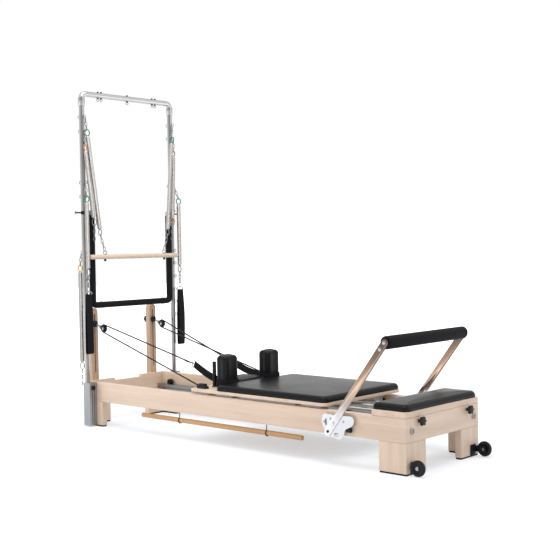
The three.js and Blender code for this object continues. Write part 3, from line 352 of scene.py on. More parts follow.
black_rubber = plain("black_rubber", (0.008, 0.008, 0.008), 0.6, 0.4, size=1500.0, Specular_IOR_Level=0.15)
for end, into in (("head", 1), ("foot", -1)):
    for side, way in both_sides:
        node = f"leg_{end}_{side}"
        low, high = span(node)
        outer, inner = (low[1], low[1] + board_thick) if way < 0 else (high[1], high[1] - board_thick)
        start = low[0] if into > 0 else high[0]
        ends = sorted((start, start + board_thick * into))
        along_rail = [np.array([low[0], min(outer, inner), 0]),
                      np.array([high[0], max(outer, inner), high[2]])]
        across = [np.array([ends[0], min(inner, way * across_reach), 0]),
                  np.array([ends[1], max(inner, way * across_reach), high[2]])]
        boards = [board(*pair, board_edge, 2) for pair in (along_rail, across)]
        piece(node + "_boards", boards, maple_upright, "bed", [node])
        soles = [board([*(low_corner[:2] + sole_inset), -sole_height],
                       [*(high_corner[:2] - sole_inset), sole_sink], sole_edge, 2)
                 for low_corner, high_corner in (along_rail, across)]
        piece(node + "_sole", soles, black_rubber, "bed")

# Tracks: grey anodised aluminium rails screwed to the inside of the bed, brushed along their
# length, with a rubber bumper near the head end where the carriage stops.
def brushed(name, colour, roughness, stretch, streak=0.25, metal=1.0, **more):
    """Metal with fine lines along one way: noise drawn out along them changes tone, gloss and relief."""
    finish = Finish(bpy.data.materials.new(name))
    where = finish.node("ShaderNodeTexCoord", output="Object")
    drawn = finish.node("ShaderNodeMapping", None, {"Vector": where, "Scale": stretch})
    lines = finish.node("ShaderNodeTexNoise", None, {"Vector": drawn, "Scale": 1.0, "Detail": 4.0})
    smear = finish.node("ShaderNodeTexNoise", None, {"Vector": where, "Scale": 14.0, "Detail": 2.0})
    tone = finish.mix(lines * streak, (*colour, 1), (*(c * 0.55 for c in colour), 1))
    relief = finish.node("ShaderNodeBump", None, {"Strength": 0.08, "Distance": 0.0002, "Height": lines})
    gloss = roughness + (lines - 0.5) * 0.15 + (smear - 0.5) * 0.1
    return surface(finish, Base_Color=tone, Roughness=gloss, Metallic=metal, Normal=relief, **more)


anodised_along = brushed("anodised_along", (0.36, 0.375, 0.39), 0.42, (6, 900, 900))
black_plastic = plain("black_plastic", (0.008, 0.008, 0.009), 0.36, 0.2, Specular_IOR_Level=0.25)
for side in ("near", "far"):
    dress(f"track_{side}", anodised_along)


def circle(radius, count):
    """Corners of a circle as an outline of [across, up]."""
    turn = np.linspace(0, 2 * np.pi, count, endpoint=False)
    return np.stack([radius * np.cos(turn), radius * np.sin(turn)], 1)


def unit(vectors):
    """Vectors made 1 long: each is divided by its own length."""
    vectors = np.array(vectors, float)
    return vectors / np.linalg.norm(vectors, axis=-1, keepdims=True)


def square_to(axis):
    """Two directions that are square to an axis and to each other."""
    first = unit(np.cross([1.0, 0, 0] if abs(axis[2]) > 0.9 else [0, 0, 1.0], axis))
    return first, np.cross(axis, first)


def turned(profile, centre, axis, count=48):
    """A profile of [radius, place along the axis] turned round an axis through a centre."""
    axis = np.asarray(axis, float)
    first, second = square_to(axis)
    radius, place = np.array(profile, float).T
    turn = np.linspace(0, 2 * np.pi, count, endpoint=False)
    rim = np.cos(turn)[:, None] * first + np.sin(turn)[:, None] * second
    return np.array(centre, float) + radius[:, None, None] * rim + (place[:, None] * axis)[:, None, :]


def pin(start, end, radius, edge=1.0, count=24):
    """A round bar between two points, with eased ends."""
    start, end = np.array(start, float), np.array(end, float)
    length = np.linalg.norm(end - start)
    eased = [(radius - edge, 0), (radius - edge * 0.3, edge * 0.3), (radius, edge)]
    profile = eased + [(width, length - place) for width, place in eased[::-1]]
    return turned(profile, start, (end - start) / length, count)


bumper_x, bumper_z, bumper_inner, bumper_outer = 137, 208, 257, 283
screw_places, screw_z, track_face, head_face = (99, 700, 1300, 1900, 2300), 162, 252.2, 249.4
for side, way in both_sides:
    bumper = pin((bumper_x, way * bumper_inner, bumper_z), (bumper_x, way * bumper_outer, bumper_z), 19,
                 edge=3, count=40)
    piece(f"track_bumper_{side}", [bumper], black_rubber, "bed")
    heads = [pin((x, way * track_face, screw_z), (x, way * head_face, screw_z), 4.2, 0.8, 16)
             for x in screw_places]
    piece(f"track_screws_{side}", heads, black_plastic, "bed")


# Pads: foam on ply under black upholstery vinyl, pulled round the edges. The sides swell between
# their corners, the top rolls over and rises to a crown, and a fine seam follows the roll.
def vinyl_finish(name, colour):
    """Vinyl: small grain cells in relief, a soft sheen that is a little uneven, and faint lighter wear."""
    finish = Finish(bpy.data.materials.new(name))
    where = finish.node("ShaderNodeTexCoord", output="Object")
    cells = finish.node("ShaderNodeTexVoronoi", {"feature": "F1"}, {"Vector": where, "Scale": 620.0})
    fine = finish.node("ShaderNodeTexNoise", None, {"Vector": where, "Scale": 300.0, "Detail": 4.0})
    broad = finish.node("ShaderNodeTexNoise", None, {"Vector": where, "Scale": 5.0, "Detail": 3.0})
    tone = finish.mix(broad * 0.45 + fine * 0.2, (*colour, 1), (*(c * 1.8 for c in colour), 1))
    relief = finish.node("ShaderNodeBump", None,
                         {"Strength": 0.22, "Distance": 0.0005, "Height": cells + fine * 0.5})
    swell = finish.node("ShaderNodeBump", None,
                        {"Strength": 0.25, "Distance": 0.006, "Height": broad, "Normal": relief})
    gloss = 0.30 + (broad - 0.5) * 0.14 + fine * 0.06
    return surface(finish, Base_Color=tone, Roughness=gloss, Normal=swell, Specular_IOR_Level=0.12,
                   Coat_Weight=0.1, Coat_Roughness=0.16)


vinyl = vinyl_finish("black_vinyl", (0.0045, 0.0045, 0.0055))


def cushion(low, high, corner, roll, crown, belly=2.0, drawn=3.0, seam=0.9, across=26, over=14, seed=1):
    """A pad. Columns run round a rounded rectangle whose straight sides are drawn in between the corners.
    Rows climb from an inset base up a bellied side, roll over the edge and shrink to the crown's middle."""
    centre, half = (low + high) / 2, (high - low) / 2
    arc = 9
    arcs, normal = rounded(half[:2], corner, arc)
    points = arcs + corner * normal
    lines, normals, share = [], [], np.linspace(0, 1, across, endpoint=False)[1:, None]
    for k in range(0, 4 * arc, arc):
        start, end, out = points[k + arc - 1], points[(k + arc) % (4 * arc)], normal[k + arc - 1]
        lines += [points[k:k + arc], start + (end - start) * share - out * drawn * 4 * share * (1 - share)]
        normals += [normal[k:k + arc], np.repeat(out[None], len(share), 0)]
    outline, out = np.vstack(lines), np.vstack(normals)
    top = high[2] - crown
    tall = top - roll - low[2]
    climb = np.linspace(0, 1, 9)
    side_inset = belly * (1 - np.sin(np.pi * climb) ** 0.7) * (1 - climb) + 0.2
    side_height = low[2] + climb * tall
    bend = np.linspace(0, np.pi / 2, 10)[1:]
    roll_inset = roll * (1 - np.cos(bend))
    roll_height = top - roll + roll * np.sin(bend)
    inset = np.concatenate([[4.0, 1.6], side_inset, roll_inset])
    height = np.concatenate([[low[2], low[2] + 0.2], side_height + 0.5 * (1 - climb), roll_height])
    phase, pucker_depth = np.random.default_rng(seed).uniform(0, 6.28, 4), 0.18
    lap = np.linspace(0, 2 * np.pi, len(outline), endpoint=False)
    pucker = sum(np.sin(lap * f + p) for f, p in zip((13, 21, 34, 8), phase)) * pucker_depth
    edge = outline[None] - out[None] * inset[:, None, None] + out[None] * (pucker * 0.5)[None, :, None]
    ring = np.dstack([edge, np.repeat(height[:, None], len(outline), 1)])
    closed_in, seam_place, seam_spread = 0.985, 6, 18
    shrink = 1 - np.linspace(0, 1, over + 1)[1:] ** 0.8 * closed_in
    body = ring[-1][None, :, :2] * shrink[:, None, None]
    lift = top + crown * (1 - shrink ** 2.4)
    near_edge = np.exp(-((1 - shrink) * half[:2].min() - seam_place) ** 2 / seam_spread)
    cap = np.dstack([body, np.repeat((lift - seam * near_edge)[:, None], len(outline), 1)])
    grid = np.vstack([ring, cap])
    grid[..., :2] += centre[:2]
    return grid


def pad(name, node, body, corner, roll, crown, rise=0, **more):
    """A cushion in the place of a plain pad. Its crown stands higher than the plain one by its rise."""
    low, high = span(node)
    high = high + np.array([0, 0, rise])
    made = piece(name, [cushion(low, high, corner, roll, crown, **more)], vinyl, body, [node],
                 crease=60)


pad("platform_cushion", "platform_pad", "bed", corner=30, roll=27, crown=11, rise=8, seed=2)
pad("carriage_cushion", "carriage_pad", "carriage", corner=30, roll=24, crown=8, rise=8, seed=3)
pad("head_cushion", "headrest", "headrest", corner=28, roll=22, crown=10, rise=6, seed=4)

# Shoulder rests: tall foam blocks on a ply base, under the same vinyl, one on each side of the
# headrest. Screws from below the carriage board hold them.
for side in ("near", "far"):
    pad(f"shoulder_cushion_{side}", f"shoulder_rest_{side}", "carriage", corner=27, roll=25, crown=5,
        belly=3.0, drawn=2.5, across=12, seed=5)

# Carriage: a maple-faced ply board on four wheel hangers, with a spring block below and, at its
# head end, a black peg to park each loop on and a black cleat with a chrome eye for each rope.
steel_dull = brushed("dull_steel", (0.42, 0.42, 0.42), 0.35, (300, 300, 300))
head, foot = 971.0, 1973.0
deck_low, deck_top, deck_corner = 282.5, 300.0, 20
low, high = span("carriage_board")
deck = board([head, low[1], deck_low], [foot, high[1], deck_top], 3.0, 2, deck_corner, steps=9)
piece("carriage_ply", [deck], maple_across, "carriage", ["carriage_board"])
hanger_half, hanger_low, hanger_top, hanger_walls = 25, 208.3, 282.8, ((-241.7, -231.7), (231.7, 241.7))
hangers = [board([x - hanger_half, wall[0], hanger_low], [x + hanger_half, wall[1], hanger_top], 1.5, 2)
           for x in (head + 80, foot - 80) for wall in hanger_walls]
piece("wheel_hangers", hangers, steel_dull, "carriage")
block_start, block_end, block_half = foot - 362, foot - 350, 150.0
block = board([block_start, -block_half, 236.5], [block_end, block_half, 283.0], 1.5, 1)
piece("spring_block", [block], black_plastic, "carriage")
peg_x, peg_y, cleat_x, cleat_y = head + 70, 202, head + 69, 296
peg = [(10, 299.5), (11, 301), (11, 440), (10.2, 444), (7.5, 446), (2, 446.6)]
peg_foot = [(19, 299.5), (19, 302.5), (17.5, 304), (11.5, 305)]
cleat_blocks = ((38, 15, 299.6, 314, 3), (28, 11, 313, 328, 4))
for side, way in both_sides:
    pegs = [turned(shape, (peg_x, way * peg_y, 0), (0, 0, 1)) for shape in (peg, peg_foot)]
    piece(f"loop_peg_{side}", pegs, black_plastic, "carriage")
    blocks = [board([cleat_x - half_length, way * cleat_y - half_width, low],
                    [cleat_x + half_length, way * cleat_y + half_width, high], edge, 2, corner=6)
              for half_length, half_width, low, high, edge in cleat_blocks]
    piece(f"rope_cleat_{side}", blocks, black_plastic, "carriage")

# Risers: slotted maple posts bolted behind the head board, with a short row of height marks
# beside each slot. A star knob behind clamps the pulley at the height wanted.
# The risers' maple tones are darker than those of the other boards: painted shade.
maple_riser_painted_shade = wood("maple_riser_painted_shade", (0.60, 0.415, 0.275), (0.42, 0.27, 0.16), (22, 22, 1.2), (5, 1, 3))
riser_y, short_mark, long_mark = 246.0, 12, 15
mark_reaches = [(z, short_mark if k % 5 else long_mark) for k, z in enumerate(np.arange(330, 690, 12))]
for side, way in both_sides:
    dress(f"riser_{side}", maple_riser_painted_shade)
    marks = [board([-0.4, way * riser_y + 8, z], [0.1, way * riser_y + reach, z + 0.9], 0.2, 2)
             for z, reach in mark_reaches]
    piece(f"riser_marks_{side}", marks, black_plastic, "bed")

# Pulley blocks: a bolt through the slot with a black hub in front, and two cheeks on a short neck
# that hold the sheave. The knob behind has rounded lobes.
def lobed(centre, axis, inner, outer, lobes, thickness, count=96):
    """A star knob: the radius swings between two values as it goes round, and its faces are eased."""
    grid = turned([(1, 0)] * 8, (0, 0, 0), axis, count)
    axis = np.array(axis, float)
    turn = np.linspace(0, 2 * np.pi, count, endpoint=False)
    rim = (inner + outer) / 2 + (outer - inner) / 2 * np.cos(lobes * turn)
    share = np.array([0.35, 0.84, 0.95, 1.0, 1.0, 0.95, 0.84, 0.35])
    place = np.array([0.0, 0.0, 0.08, 0.25, 0.75, 0.92, 1.0, 1.04]) * thickness
    return np.array(centre, float) + grid * (share[:, None] * rim)[..., None] + place[:, None, None] * axis


def polished(name, colour, roughness, dark=1.0):
    """Bright plate: faint smears and fine marks change its gloss, and its colour is darker where it faces
    the eye, a painted dark reflection.
    """
    finish = Finish(bpy.data.materials.new(name))
    where = finish.node("ShaderNodeTexCoord", output="Object")
    smear = finish.node("ShaderNodeTexNoise", None, {"Vector": where, "Scale": 7.0, "Detail": 4.0})
    marks = finish.node("ShaderNodeTexNoise", None, {"Vector": where, "Scale": 240.0, "Detail": 2.0})
    turn = finish.node("ShaderNodeLayerWeight", None, {"Blend": 0.875}, "Facing")
    # The colour darkens where the surface faces the eye: a painted dark reflection.
    tone = finish.mix((1 - turn) * dark + (smear - 0.5) * 0.3, (*colour, 1),
                      (*(c * 0.16 for c in colour), 1))
    relief = finish.node("ShaderNodeBump", None, {"Strength": 0.02, "Distance": 0.0002, "Height": marks})
    return surface(finish, Base_Color=tone, Roughness=roughness + smear * 0.08 + marks * 0.04, Metallic=1.0,
                   Normal=relief, Specular_Tint=(0.3, 0.3, 0.31, 1))


link_steel = polished("link_steel", (0.46, 0.46, 0.47), 0.10)


def half_round(toward, across, steps):
    """Directions over half a turn, from one side of a heading, through it, to its other side."""
    turn = np.linspace(-np.pi / 2, np.pi / 2, steps)[:, None]
    return np.cos(turn) * toward + np.sin(turn) * across


pulley_x, pulley_z, slot_z, neck_length, cheek_radius, neck_radius = 92.7, 601.0, 627, 36, 17, 8
knob_x, hub_x, bolt_x, cheek_faces = -58, 12, -72, (6.4, 6.8, 9.0, 9.4)
groove_width, groove_least, groove_rise = 5.9, 20, 5
for side, way in both_sides:
    y = way * riser_y
    centre = np.array([pulley_x, y, pulley_z])
    toward = unit([pulley_x - hub_x + 1, 0, pulley_z - slot_z])
    neck_end = centre - neck_length * toward
    arc = half_round(toward, np.array([-toward[2], 0, toward[0]]), 12)
    outline = np.vstack([centre + cheek_radius * arc, neck_end - neck_radius * arc])
    cheeks = [np.stack([outline + [0, s * d, 0] for d in cheek_faces]) for s in (-1, 1)]
    parts = [pin((bolt_x, y, slot_z), (hub_x, y, slot_z), 4.5, 0.5),
             pin((0, y, slot_z), (hub_x, y, slot_z), 20, 2.5, 40),
             lobed((knob_x, y, slot_z), (-1, 0, 0), 17, 24, 6, 14),
             pin((knob_x, y, slot_z), (-40.4, y, slot_z), 11, 1)]
    piece(f"pulley_cheeks_{side}", parts + cheeks, black_plastic, "bed",
          [f"pulley_block_{side}"])
    bolt = [pin((pulley_x, y - 10.8, pulley_z), (pulley_x, y + 10.8, pulley_z), 9, 1, 24),
            pin((hub_x - 1, y, slot_z), neck_end, 6, 0.5),
            pin(neck_end - [0, 9.8, 0], neck_end + [0, 9.8, 0], 9, 1)]
    piece(f"pulley_bolt_{side}", bolt, link_steel, "bed")
    groove = np.linspace(-1, 1, 9)
    tread = np.stack([groove_least + groove_rise * np.abs(groove) ** 1.6, groove * groove_width], 1)
    wall = np.array([(5, -5.6), (14, -5.6), (14.6, -4.2), (20, -4.4), (23, -groove_width)])
    sheave = np.vstack([wall, tread, wall[::-1] * [1, -1]])
    piece(f"sheave_{side}", [turned(sheave, centre, (0, 1, 0))], black_plastic, f"pulley_{side}",
          [f"pulley_wheel_{side}"])


# Ropes: dark grey braided cord, 8 mm thick over the braid, from a snap hook at the loop, over the
# sheave and down to the cleat. Each strand is a taut straight run between the pieces that hold it.
def braid_finish(name, colour, scale):
    """Braid: two sets of slanted ridges cross on the rope's own coordinates, round it and along it."""
    finish = Finish(bpy.data.materials.new(name))
    where = finish.node("ShaderNodeUVMap")
    split = [finish.node("ShaderNodeSeparateXYZ", None, {"Vector": where}, k) for k in ("X", "Y")]
    left, right = [(split[0] * scale + split[1] * (37.7 * s)).sine() for s in (1, -1)]
    weave = left.most(right) * 0.5 + 0.5
    # The colour is darker in the grooves between the ridges than on them: painted shade.
    tone = finish.mix(weave, (*(c * 0.45 for c in colour), 1), (*colour, 1))
    relief = finish.node("ShaderNodeBump", None, {"Strength": 0.2, "Distance": 0.0008, "Height": weave})
    return surface(finish, Base_Color=tone, Roughness=0.74 + weave * 0.12, Normal=relief,
                   Specular_IOR_Level=0.15)


rope_braid = braid_finish("rope_braid", (0.040, 0.040, 0.044), 1500.0)


def loop(centre, along, across, half_length, half_width, wire, steps=32, sides=10):
    """A ring of round wire: an ellipse, squared off a little, with the wire's circle carried round it."""
    centre, along, across = (np.array(v, float) for v in (centre, along, across))
    turn = np.linspace(0, 2 * np.pi, steps, endpoint=False)
    c, s = np.cos(turn), np.sin(turn)
    c, s = np.sign(c) * np.abs(c) ** 0.85, np.sign(s) * np.abs(s) ** 0.85
    line = centre + half_length * c[:, None] * along + half_width * s[:, None] * across
    heading = unit(np.roll(line, -1, 0) - np.roll(line, 1, 0))
    side = np.cross(along, across)
    out = np.cross(heading, side)
    outline = circle(wire, sides)
    return line[:, None] + outline[:, :1] * out[:, None] + outline[:, 1:] * side


def carried(line, outline, side, looped=False):
    """An outline carried along a line that lies in a plane, whose normal is given. A looped line closes."""
    line = np.array(line, float)
    heading = unit(np.roll(line, -1, 0) - np.roll(line, 1, 0) if looped else np.gradient(line, axis=0))
    out = unit(np.cross(heading, np.array(side, float)))
    up = np.cross(heading, out)
    outline = np.asarray(outline, float)
    return line[:, None] + outline[:, :1] * out[:, None] + outline[:, 1:] * up[:, None]


def lay_uv(made, line, count, girth):
    """Gives a carried piece its own coordinates: metres along its line, and shares of a turn round it."""
    mesh, rows = made.data, len(line)
    length = np.linalg.norm(np.diff(line, axis=0), axis=1).sum() * MM
    index = np.zeros(len(mesh.loops), np.int32)
    mesh.loops.foreach_get("vertex_index", index)
    row, column = np.divmod(index % (rows * count), count)
    uv = np.stack([row / max(rows - 1, 1) * length, column / count * girth], 1)
    mesh.uv_layers.new(name="laid").data.foreach_set("uv", uv.astype(np.float32).ravel())


def strand(name, line, node):
    """A run of rope: its circle carried along a line that keeps to one upright plane."""
    made = piece(name, [carried(line, circle(rope_radius, rope_sides), (0, 1, 0))], rope_braid, "bed",
                 [node])
    lay_uv(made, line, rope_sides, 1.0)
    return made


def leaving(centre, point, radius, above):
    """The angle on a circle, in X and Z, where a taut line to a point leaves it: the angle to the point,
    and the arc whose cosine is the radius over the distance to it."""
    dx, dz = point[0] - centre[0], point[2] - centre[2]
    return math.atan2(dz, dx) + above * math.acos(radius / math.hypot(dx, dz))


chrome = polished("chrome", (0.56, 0.545, 0.53), 0.06)
travel, rope_radius, rope_sides, groove_radius, strap_y = 700.0, 4.2, 14, 24.5, 178.0
ring_x, ring_heights, tie_z = head - 137, {"near": 420.0, "far": 385.0}, 316.0
for side, way in both_sides:
    centre = np.array([pulley_x, way * riser_y, pulley_z])
    ring = np.array([ring_x, way * strap_y, ring_heights[side]])
    tie = np.array([head + 29, way * cleat_y, tie_z])
    high_turn, low_turn = leaving(centre, ring, groove_radius, 1), leaving(centre, tie, groove_radius, -1)
    turn = np.linspace(high_turn, low_turn + 2 * np.pi, 24)
    wrap = centre + groove_radius * np.stack([np.cos(turn), 0 * turn, np.sin(turn)], 1)
    strand(f"rope_turn_{side}", wrap, f"rope_{side}")
    for level_name, start, end in (("upper", wrap[0], ring), ("lower", wrap[-1], tie)):
        made = strand(f"rope_{level_name}_{side}", start + (end - start) * np.linspace(0, 1, 40)[:, None],
                      f"rope_{side}")
        anchor = tuple(origin + start * MM)
        1 - travel / (end[0] - start[0])
        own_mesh(made)
    toward = unit(centre - ring)
    piece(f"rope_sleeve_{side}", [pin(ring + toward * 30, ring + toward * 62, 5.5, 1.5)], black_rubber,
          "carriage")
    snap = loop(ring + toward * 14, toward, (0, 1, 0), 19, 7, 2.2)
    piece(f"rope_snap_{side}", [snap], link_steel, "carriage", ends=False)
    eye = loop((head + 33, way * cleat_y, tie_z), (1, 0, 0), (0, 0, 1), 11, 9, 1.8)
    piece(f"cleat_eye_{side}", [eye], chrome, "carriage", ends=False)


# Loops: flat black webbing, 43 mm wide, sewn into a band that is parked round each shoulder rest
# and a doubled strap that ends in a steel ring, where the rope's snap hook holds it.
def webbing_finish(name, colour):
    """Webbing: fine ribs across the band and a coarser rib along it, on the band's own coordinates."""
    finish = Finish(bpy.data.materials.new(name))
    where = finish.node("ShaderNodeUVMap")
    along, across = [finish.node("ShaderNodeSeparateXYZ", None, {"Vector": where}, k) for k in ("X", "Y")]
    weave = ((along * 3600.0).sine() * 0.5 + 0.5) * ((across * 2400.0).sine() * 0.5 + 0.5)
    fuzz = finish.node("ShaderNodeTexNoise", None, {"Vector": where, "Scale": 400.0, "Detail": 3.0})
    tone = finish.mix(weave * 0.7 + fuzz * 0.3, (*colour, 1), (*(c * 2.6 for c in colour), 1))
    relief = finish.node("ShaderNodeBump", None,
                         {"Strength": 0.45, "Distance": 0.0006, "Height": weave + fuzz * 0.3})
    return surface(finish, Base_Color=tone, Roughness=0.78 + fuzz * 0.12, Normal=relief,
                   Specular_IOR_Level=0.2)


webbing = webbing_finish("black_webbing", (0.005, 0.005, 0.006))


def band(name, line, width, thickness, side, body, node=(), looped=False):
    """A flat band carried along a line: its outline is a thin rectangle with rounded edges."""
    half, thin = width / 2, thickness / 2
    turn = np.concatenate([np.linspace(-np.pi / 2, np.pi / 2, 5), np.linspace(np.pi / 2, 1.5 * np.pi, 5)])
    ring = np.stack([np.cos(turn) * thin, np.sin(turn) * thin], 1)
    ring[:5, 0] += half - thin
    ring[5:, 0] -= half - thin
    outline = ring[:, ::-1]
    line = np.array(line, float)
    made = piece(name, [carried(line, outline, side, looped)], webbing, body, node,
                 ends=not looped)
    lay_uv(made, line, len(outline), width * MM * 2)


def rounded_path(centre, half, corner, steps=8):
    """A closed line round a rectangle with rounded corners, in X and Y."""
    arcs, out = rounded(half, corner, steps)
    return np.column_stack([arcs + corner * out + centre[:2], np.full(len(out), centre[2])])


band_z, sag = 328.0, 10
for side, way in both_sides:
    middle = np.array([head + 151, way * strap_y, band_z])
    band(f"shoulder_band_{side}", rounded_path(middle, (46.5, 59.5), 31), 43, 3, (0, 0, 1), "carriage",
         [f"shoulder_loop_{side}"], looped=True)
    nose = np.array([head + 104, way * strap_y, band_z])
    ring = np.array([ring_x + 14, way * strap_y, ring_heights[side] - 3])
    share = np.linspace(0, 1, 24)[:, None]
    for k, spread in enumerate((-2.2, 2.2)):
        line = ring + (nose - ring) * share + np.array([0, spread, -sag]) * np.sin(np.pi * share)
        band(f"shoulder_strap_{side}_{k + 1}", line, 42, 3, np.cross(nose - ring, [0, 1, 0]) / 200,
             "carriage", [f"shoulder_loop_{side}"])
    d_ring = loop(ring - [6, 0, 0], (0.35, 0, 0.94), (0.94, 0, -0.35), 23, 9, 2.2)
    hook = loop(ring - [13, 0, -4], (0.94, 0, -0.35), (0, 1, 0), 14, 6, 2.0)
    piece(f"strap_rings_{side}", [d_ring, hook], link_steel, "carriage", ends=False)

# Tower base: a grey slotted profile bolted outside each rail, the post pushed into it from above,
# with a small black clamp near its top.
anodised_upright = brushed("anodised_upright", (0.40, 0.41, 0.42), 0.38, (900, 900, 6))
base_y, clamp_z, clamp_half, clamp_half_height = 359, 236, 12, 14
for side, way in both_sides:
    dress(f"tower_base_{side}", anodised_upright)
    clamp = board([113.6, way * base_y - clamp_half, clamp_z - clamp_half_height],
                  [121, way * base_y + clamp_half, clamp_z + clamp_half_height], 3, 0)
    knob = pin((120, way * base_y, clamp_z), (128, way * base_y, clamp_z), 9, 2)
    piece(f"base_clamp_{side}", [clamp, knob], black_plastic, "bed")

# Tower: polished stainless tube, 32 mm posts joined by a bent crossbar in sleeves. Every spring
# hangs from an eye bolt through the tube, with a nut or collar on the other side.
stainless = polished("stainless", (0.60, 0.59, 0.585), 0.12, 0.75)
bright_bar = polished("bright_bar", (0.66, 0.65, 0.64), 0.12, 0.45)
post_x, post_y, cross_z, eye_reach, sleeve_low, sleeve_end = 72.0, 368.5, 2078.0, 29, 2030, 2038
upper = [1934, 1845, 1524, 1437]
lower = [1357, 1089, 1005, 917, 829, 746, 658]


def eye_bolt(root, toward, normal):
    """A ring of wire on a short shank, with a collar where it meets the tube."""
    root, toward = np.array(root, float), np.array(toward, float)
    across = np.cross(np.array(normal, float), toward)
    ring = loop(root + toward * eye_reach, toward, across, 8.6, 8.6, 2.0, 28)
    collar = pin(root + toward * 14, root + toward * 19, 5.5, 1, 18)
    return ring, pin(root, root + toward * 20.4, 2.6, 0.5, 14), collar


lever_x, lever_z = post_x + 8, 1335
for side, way in both_sides:
    y = way * post_y
    tube = turned([(15, 11.5), (16, 12.5), (16, 2028)], (post_x, y, 0), (0, 0, 1), 64)
    rings, shanks = [], []
    for z, ways in [(z, (1, -1)) for z in upper] + [(z, (1,)) for z in lower] + [(lower[1], (-1,))]:
        for s in ways:
            ring, *rest = eye_bolt((post_x, y, z), (s, 0, 0), (0, 1, 0))
            rings.append(ring)
            shanks += rest
        if ways == (1,):
            shanks.append(pin((post_x - 14, y, z), (post_x - 20, y, z), 6, 1, 6))
    collar = turned([(16.2, -11), (18.6, -9), (18.6, 9), (16.2, 11)], (post_x, y, lever_z), (0, 0, 1), 48)
    lever = pin((lever_x, y + way * 12, lever_z), (lever_x, y + way * 66, lever_z), 4.5, 1)
    lever_end = pin((lever_x, y + way * 70, lever_z - 8), (lever_x, y + way * 70, lever_z + 8), 5, 2)
    piece(f"post_tube_{side}", [tube], stainless, "bed", [f"tower_post_{side}"])
    piece(f"post_eyes_{side}", rings, link_steel, "bed", ends=False)
    piece(f"post_bolts_{side}", shanks, chrome, "bed")
    piece(f"post_lever_{side}", [lever, collar], black_plastic, "bed")
    piece(f"post_lever_end_{side}", [lever_end], link_steel, "bed")


def bow(x, y, end, next_to_end, middle, radius, angles):
    """Both halves of a tube's line across the bed: one side with its bend, and the same mirrored."""
    turn = np.linspace(*angles)
    side = np.stack([0 * turn + x, -y + radius + radius * np.cos(turn), middle + radius * np.sin(turn)], 1)
    half = np.vstack([[x, -y, end], [x, -y, next_to_end], side])
    return half, half[::-1] * [1, -1, 1]


cross_bend = 30
left, right = bow(post_x, post_y, sleeve_low, sleeve_end, cross_z - cross_bend, cross_bend,
                  (np.pi, np.pi / 2, 14))
line = np.vstack([left, [post_x, 0, cross_z], right])
piece("crossbar_tube", [carried(line, circle(17, 48), (1, 0, 0))], bright_bar, "bed",
      ["tower_crossbar"])
for side, way in both_sides:
    sleeve = [(17.4, 2054), (20.5, 2052.5), (20.5, 2003), (19.5, 2001.5), (16.3, 2001.5)]
    screw = pin((post_x + 19, way * post_y, 2020), (post_x + 23, way * post_y, 2020), 4, 0.8, 16)
    piece(f"crossbar_sleeve_{side}", [turned(sleeve, (post_x, way * post_y, 0), (0, 0, 1), 64), screw],
          stainless, "bed")
rings, shanks, nuts = [], [], []
for y in (-239, -213, 0, 213, 239):
    ring, *rest = eye_bolt((post_x, y, cross_z), (0, 0, -1), (1, 0, 0))
    rings.append(ring)
    shanks += rest
    nuts += [pin((post_x, y, cross_z + 15 * s), (post_x, y, cross_z + 24 * s), 6, 1.5, 12) for s in (1, -1)]
piece("crossbar_eyes", rings, link_steel, "bed", ends=False)
piece("crossbar_bolts", shanks, chrome, "bed")
piece("crossbar_nuts", nuts, black_plastic, "bed")


# Push-through bar: steel tube under black foam, hung on pins between the posts. The foam stops
# short of the pins, where the steel shows.
def foam_finish(name, colour):
    """Foam grip: fine open cells in relief over a slow mottling."""
    finish = Finish(bpy.data.materials.new(name))
    where = finish.node("ShaderNodeTexCoord", output="Object")
    cells = finish.node("ShaderNodeTexVoronoi", {"feature": "F1"}, {"Vector": where, "Scale": 480.0})
    mottle = finish.node("ShaderNodeTexNoise", None, {"Vector": where, "Scale": 60.0, "Detail": 4.0})
    tone = finish.mix(mottle * 0.5 + cells * 0.3, (*colour, 1), (*(c * 2.2 for c in colour), 1))
    relief = finish.node("ShaderNodeBump", None,
                         {"Strength": 0.2, "Distance": 0.001, "Height": cells + mottle * 0.4})
    return surface(finish, Base_Color=tone, Roughness=0.55 + mottle * 0.2, Normal=relief,
                   Specular_IOR_Level=0.1)


foam = foam_finish("black_foam", (0.006, 0.006, 0.007))
push_x, push_y, push_z, pin_x = 88.0, 323.0, 1335.0, 80.0
push_low, push_bend = 753, 26
line = np.vstack(bow(push_x, push_y, 1322, 1320, push_low + push_bend, push_bend, (np.pi, 1.5 * np.pi, 10)))
piece("push_bar_foam", [carried(line, circle(19.8, 32), (1, 0, 0))], foam, "push_bar", ["push_bar"])
steel_ends = []
for side, way in both_sides:
    steel_ends += [pin((push_x, way * push_y, 1300), (push_x, way * push_y, 1350), 17, 3, 32),
                   pin((pin_x, way * push_y, push_z), (pin_x, way * 353, push_z), 5, 1),
                   pin((pin_x, way * 342, push_z), (pin_x, way * 347, push_z), 9, 1)]
    rings = [loop((push_x, way * (push_y - 62), 752), (0, 0, 1), (0, 1, 0), 23, 21.6, 1.6)]
    piece(f"push_bar_eye_{side}", rings, chrome, "push_bar", ends=False)
piece("push_bar_ends", steel_ends, stainless, "push_bar")


# Springs of the roll-down bar: close-wound bright steel, each with a coloured ring for its
# strength. Short links join its top to an eye bolt of the post, and a hook and chain hold the bar.
def coil(start, end, radius, wire, pitch, steps=14, sides=6):
    """A close-wound spring: a helix of round wire, with the wire's circle laid in the plane of the axis."""
    start, end = np.array(start, float), np.array(end, float)
    length = np.linalg.norm(end - start)
    axis = (end - start) / length
    first, second = square_to(axis)
    turns = int(length / pitch)
    share = np.linspace(0, 1, turns * steps + 1)
    angle = 2 * np.pi * turns * share
    out = np.cos(angle)[:, None] * first + np.sin(angle)[:, None] * second
    line = start + share[:, None] * (end - start) + radius * out
    outline = circle(wire, sides)
    return line[:, None] + outline[:, :1] * out[:, None] + outline[:, 1:] * axis


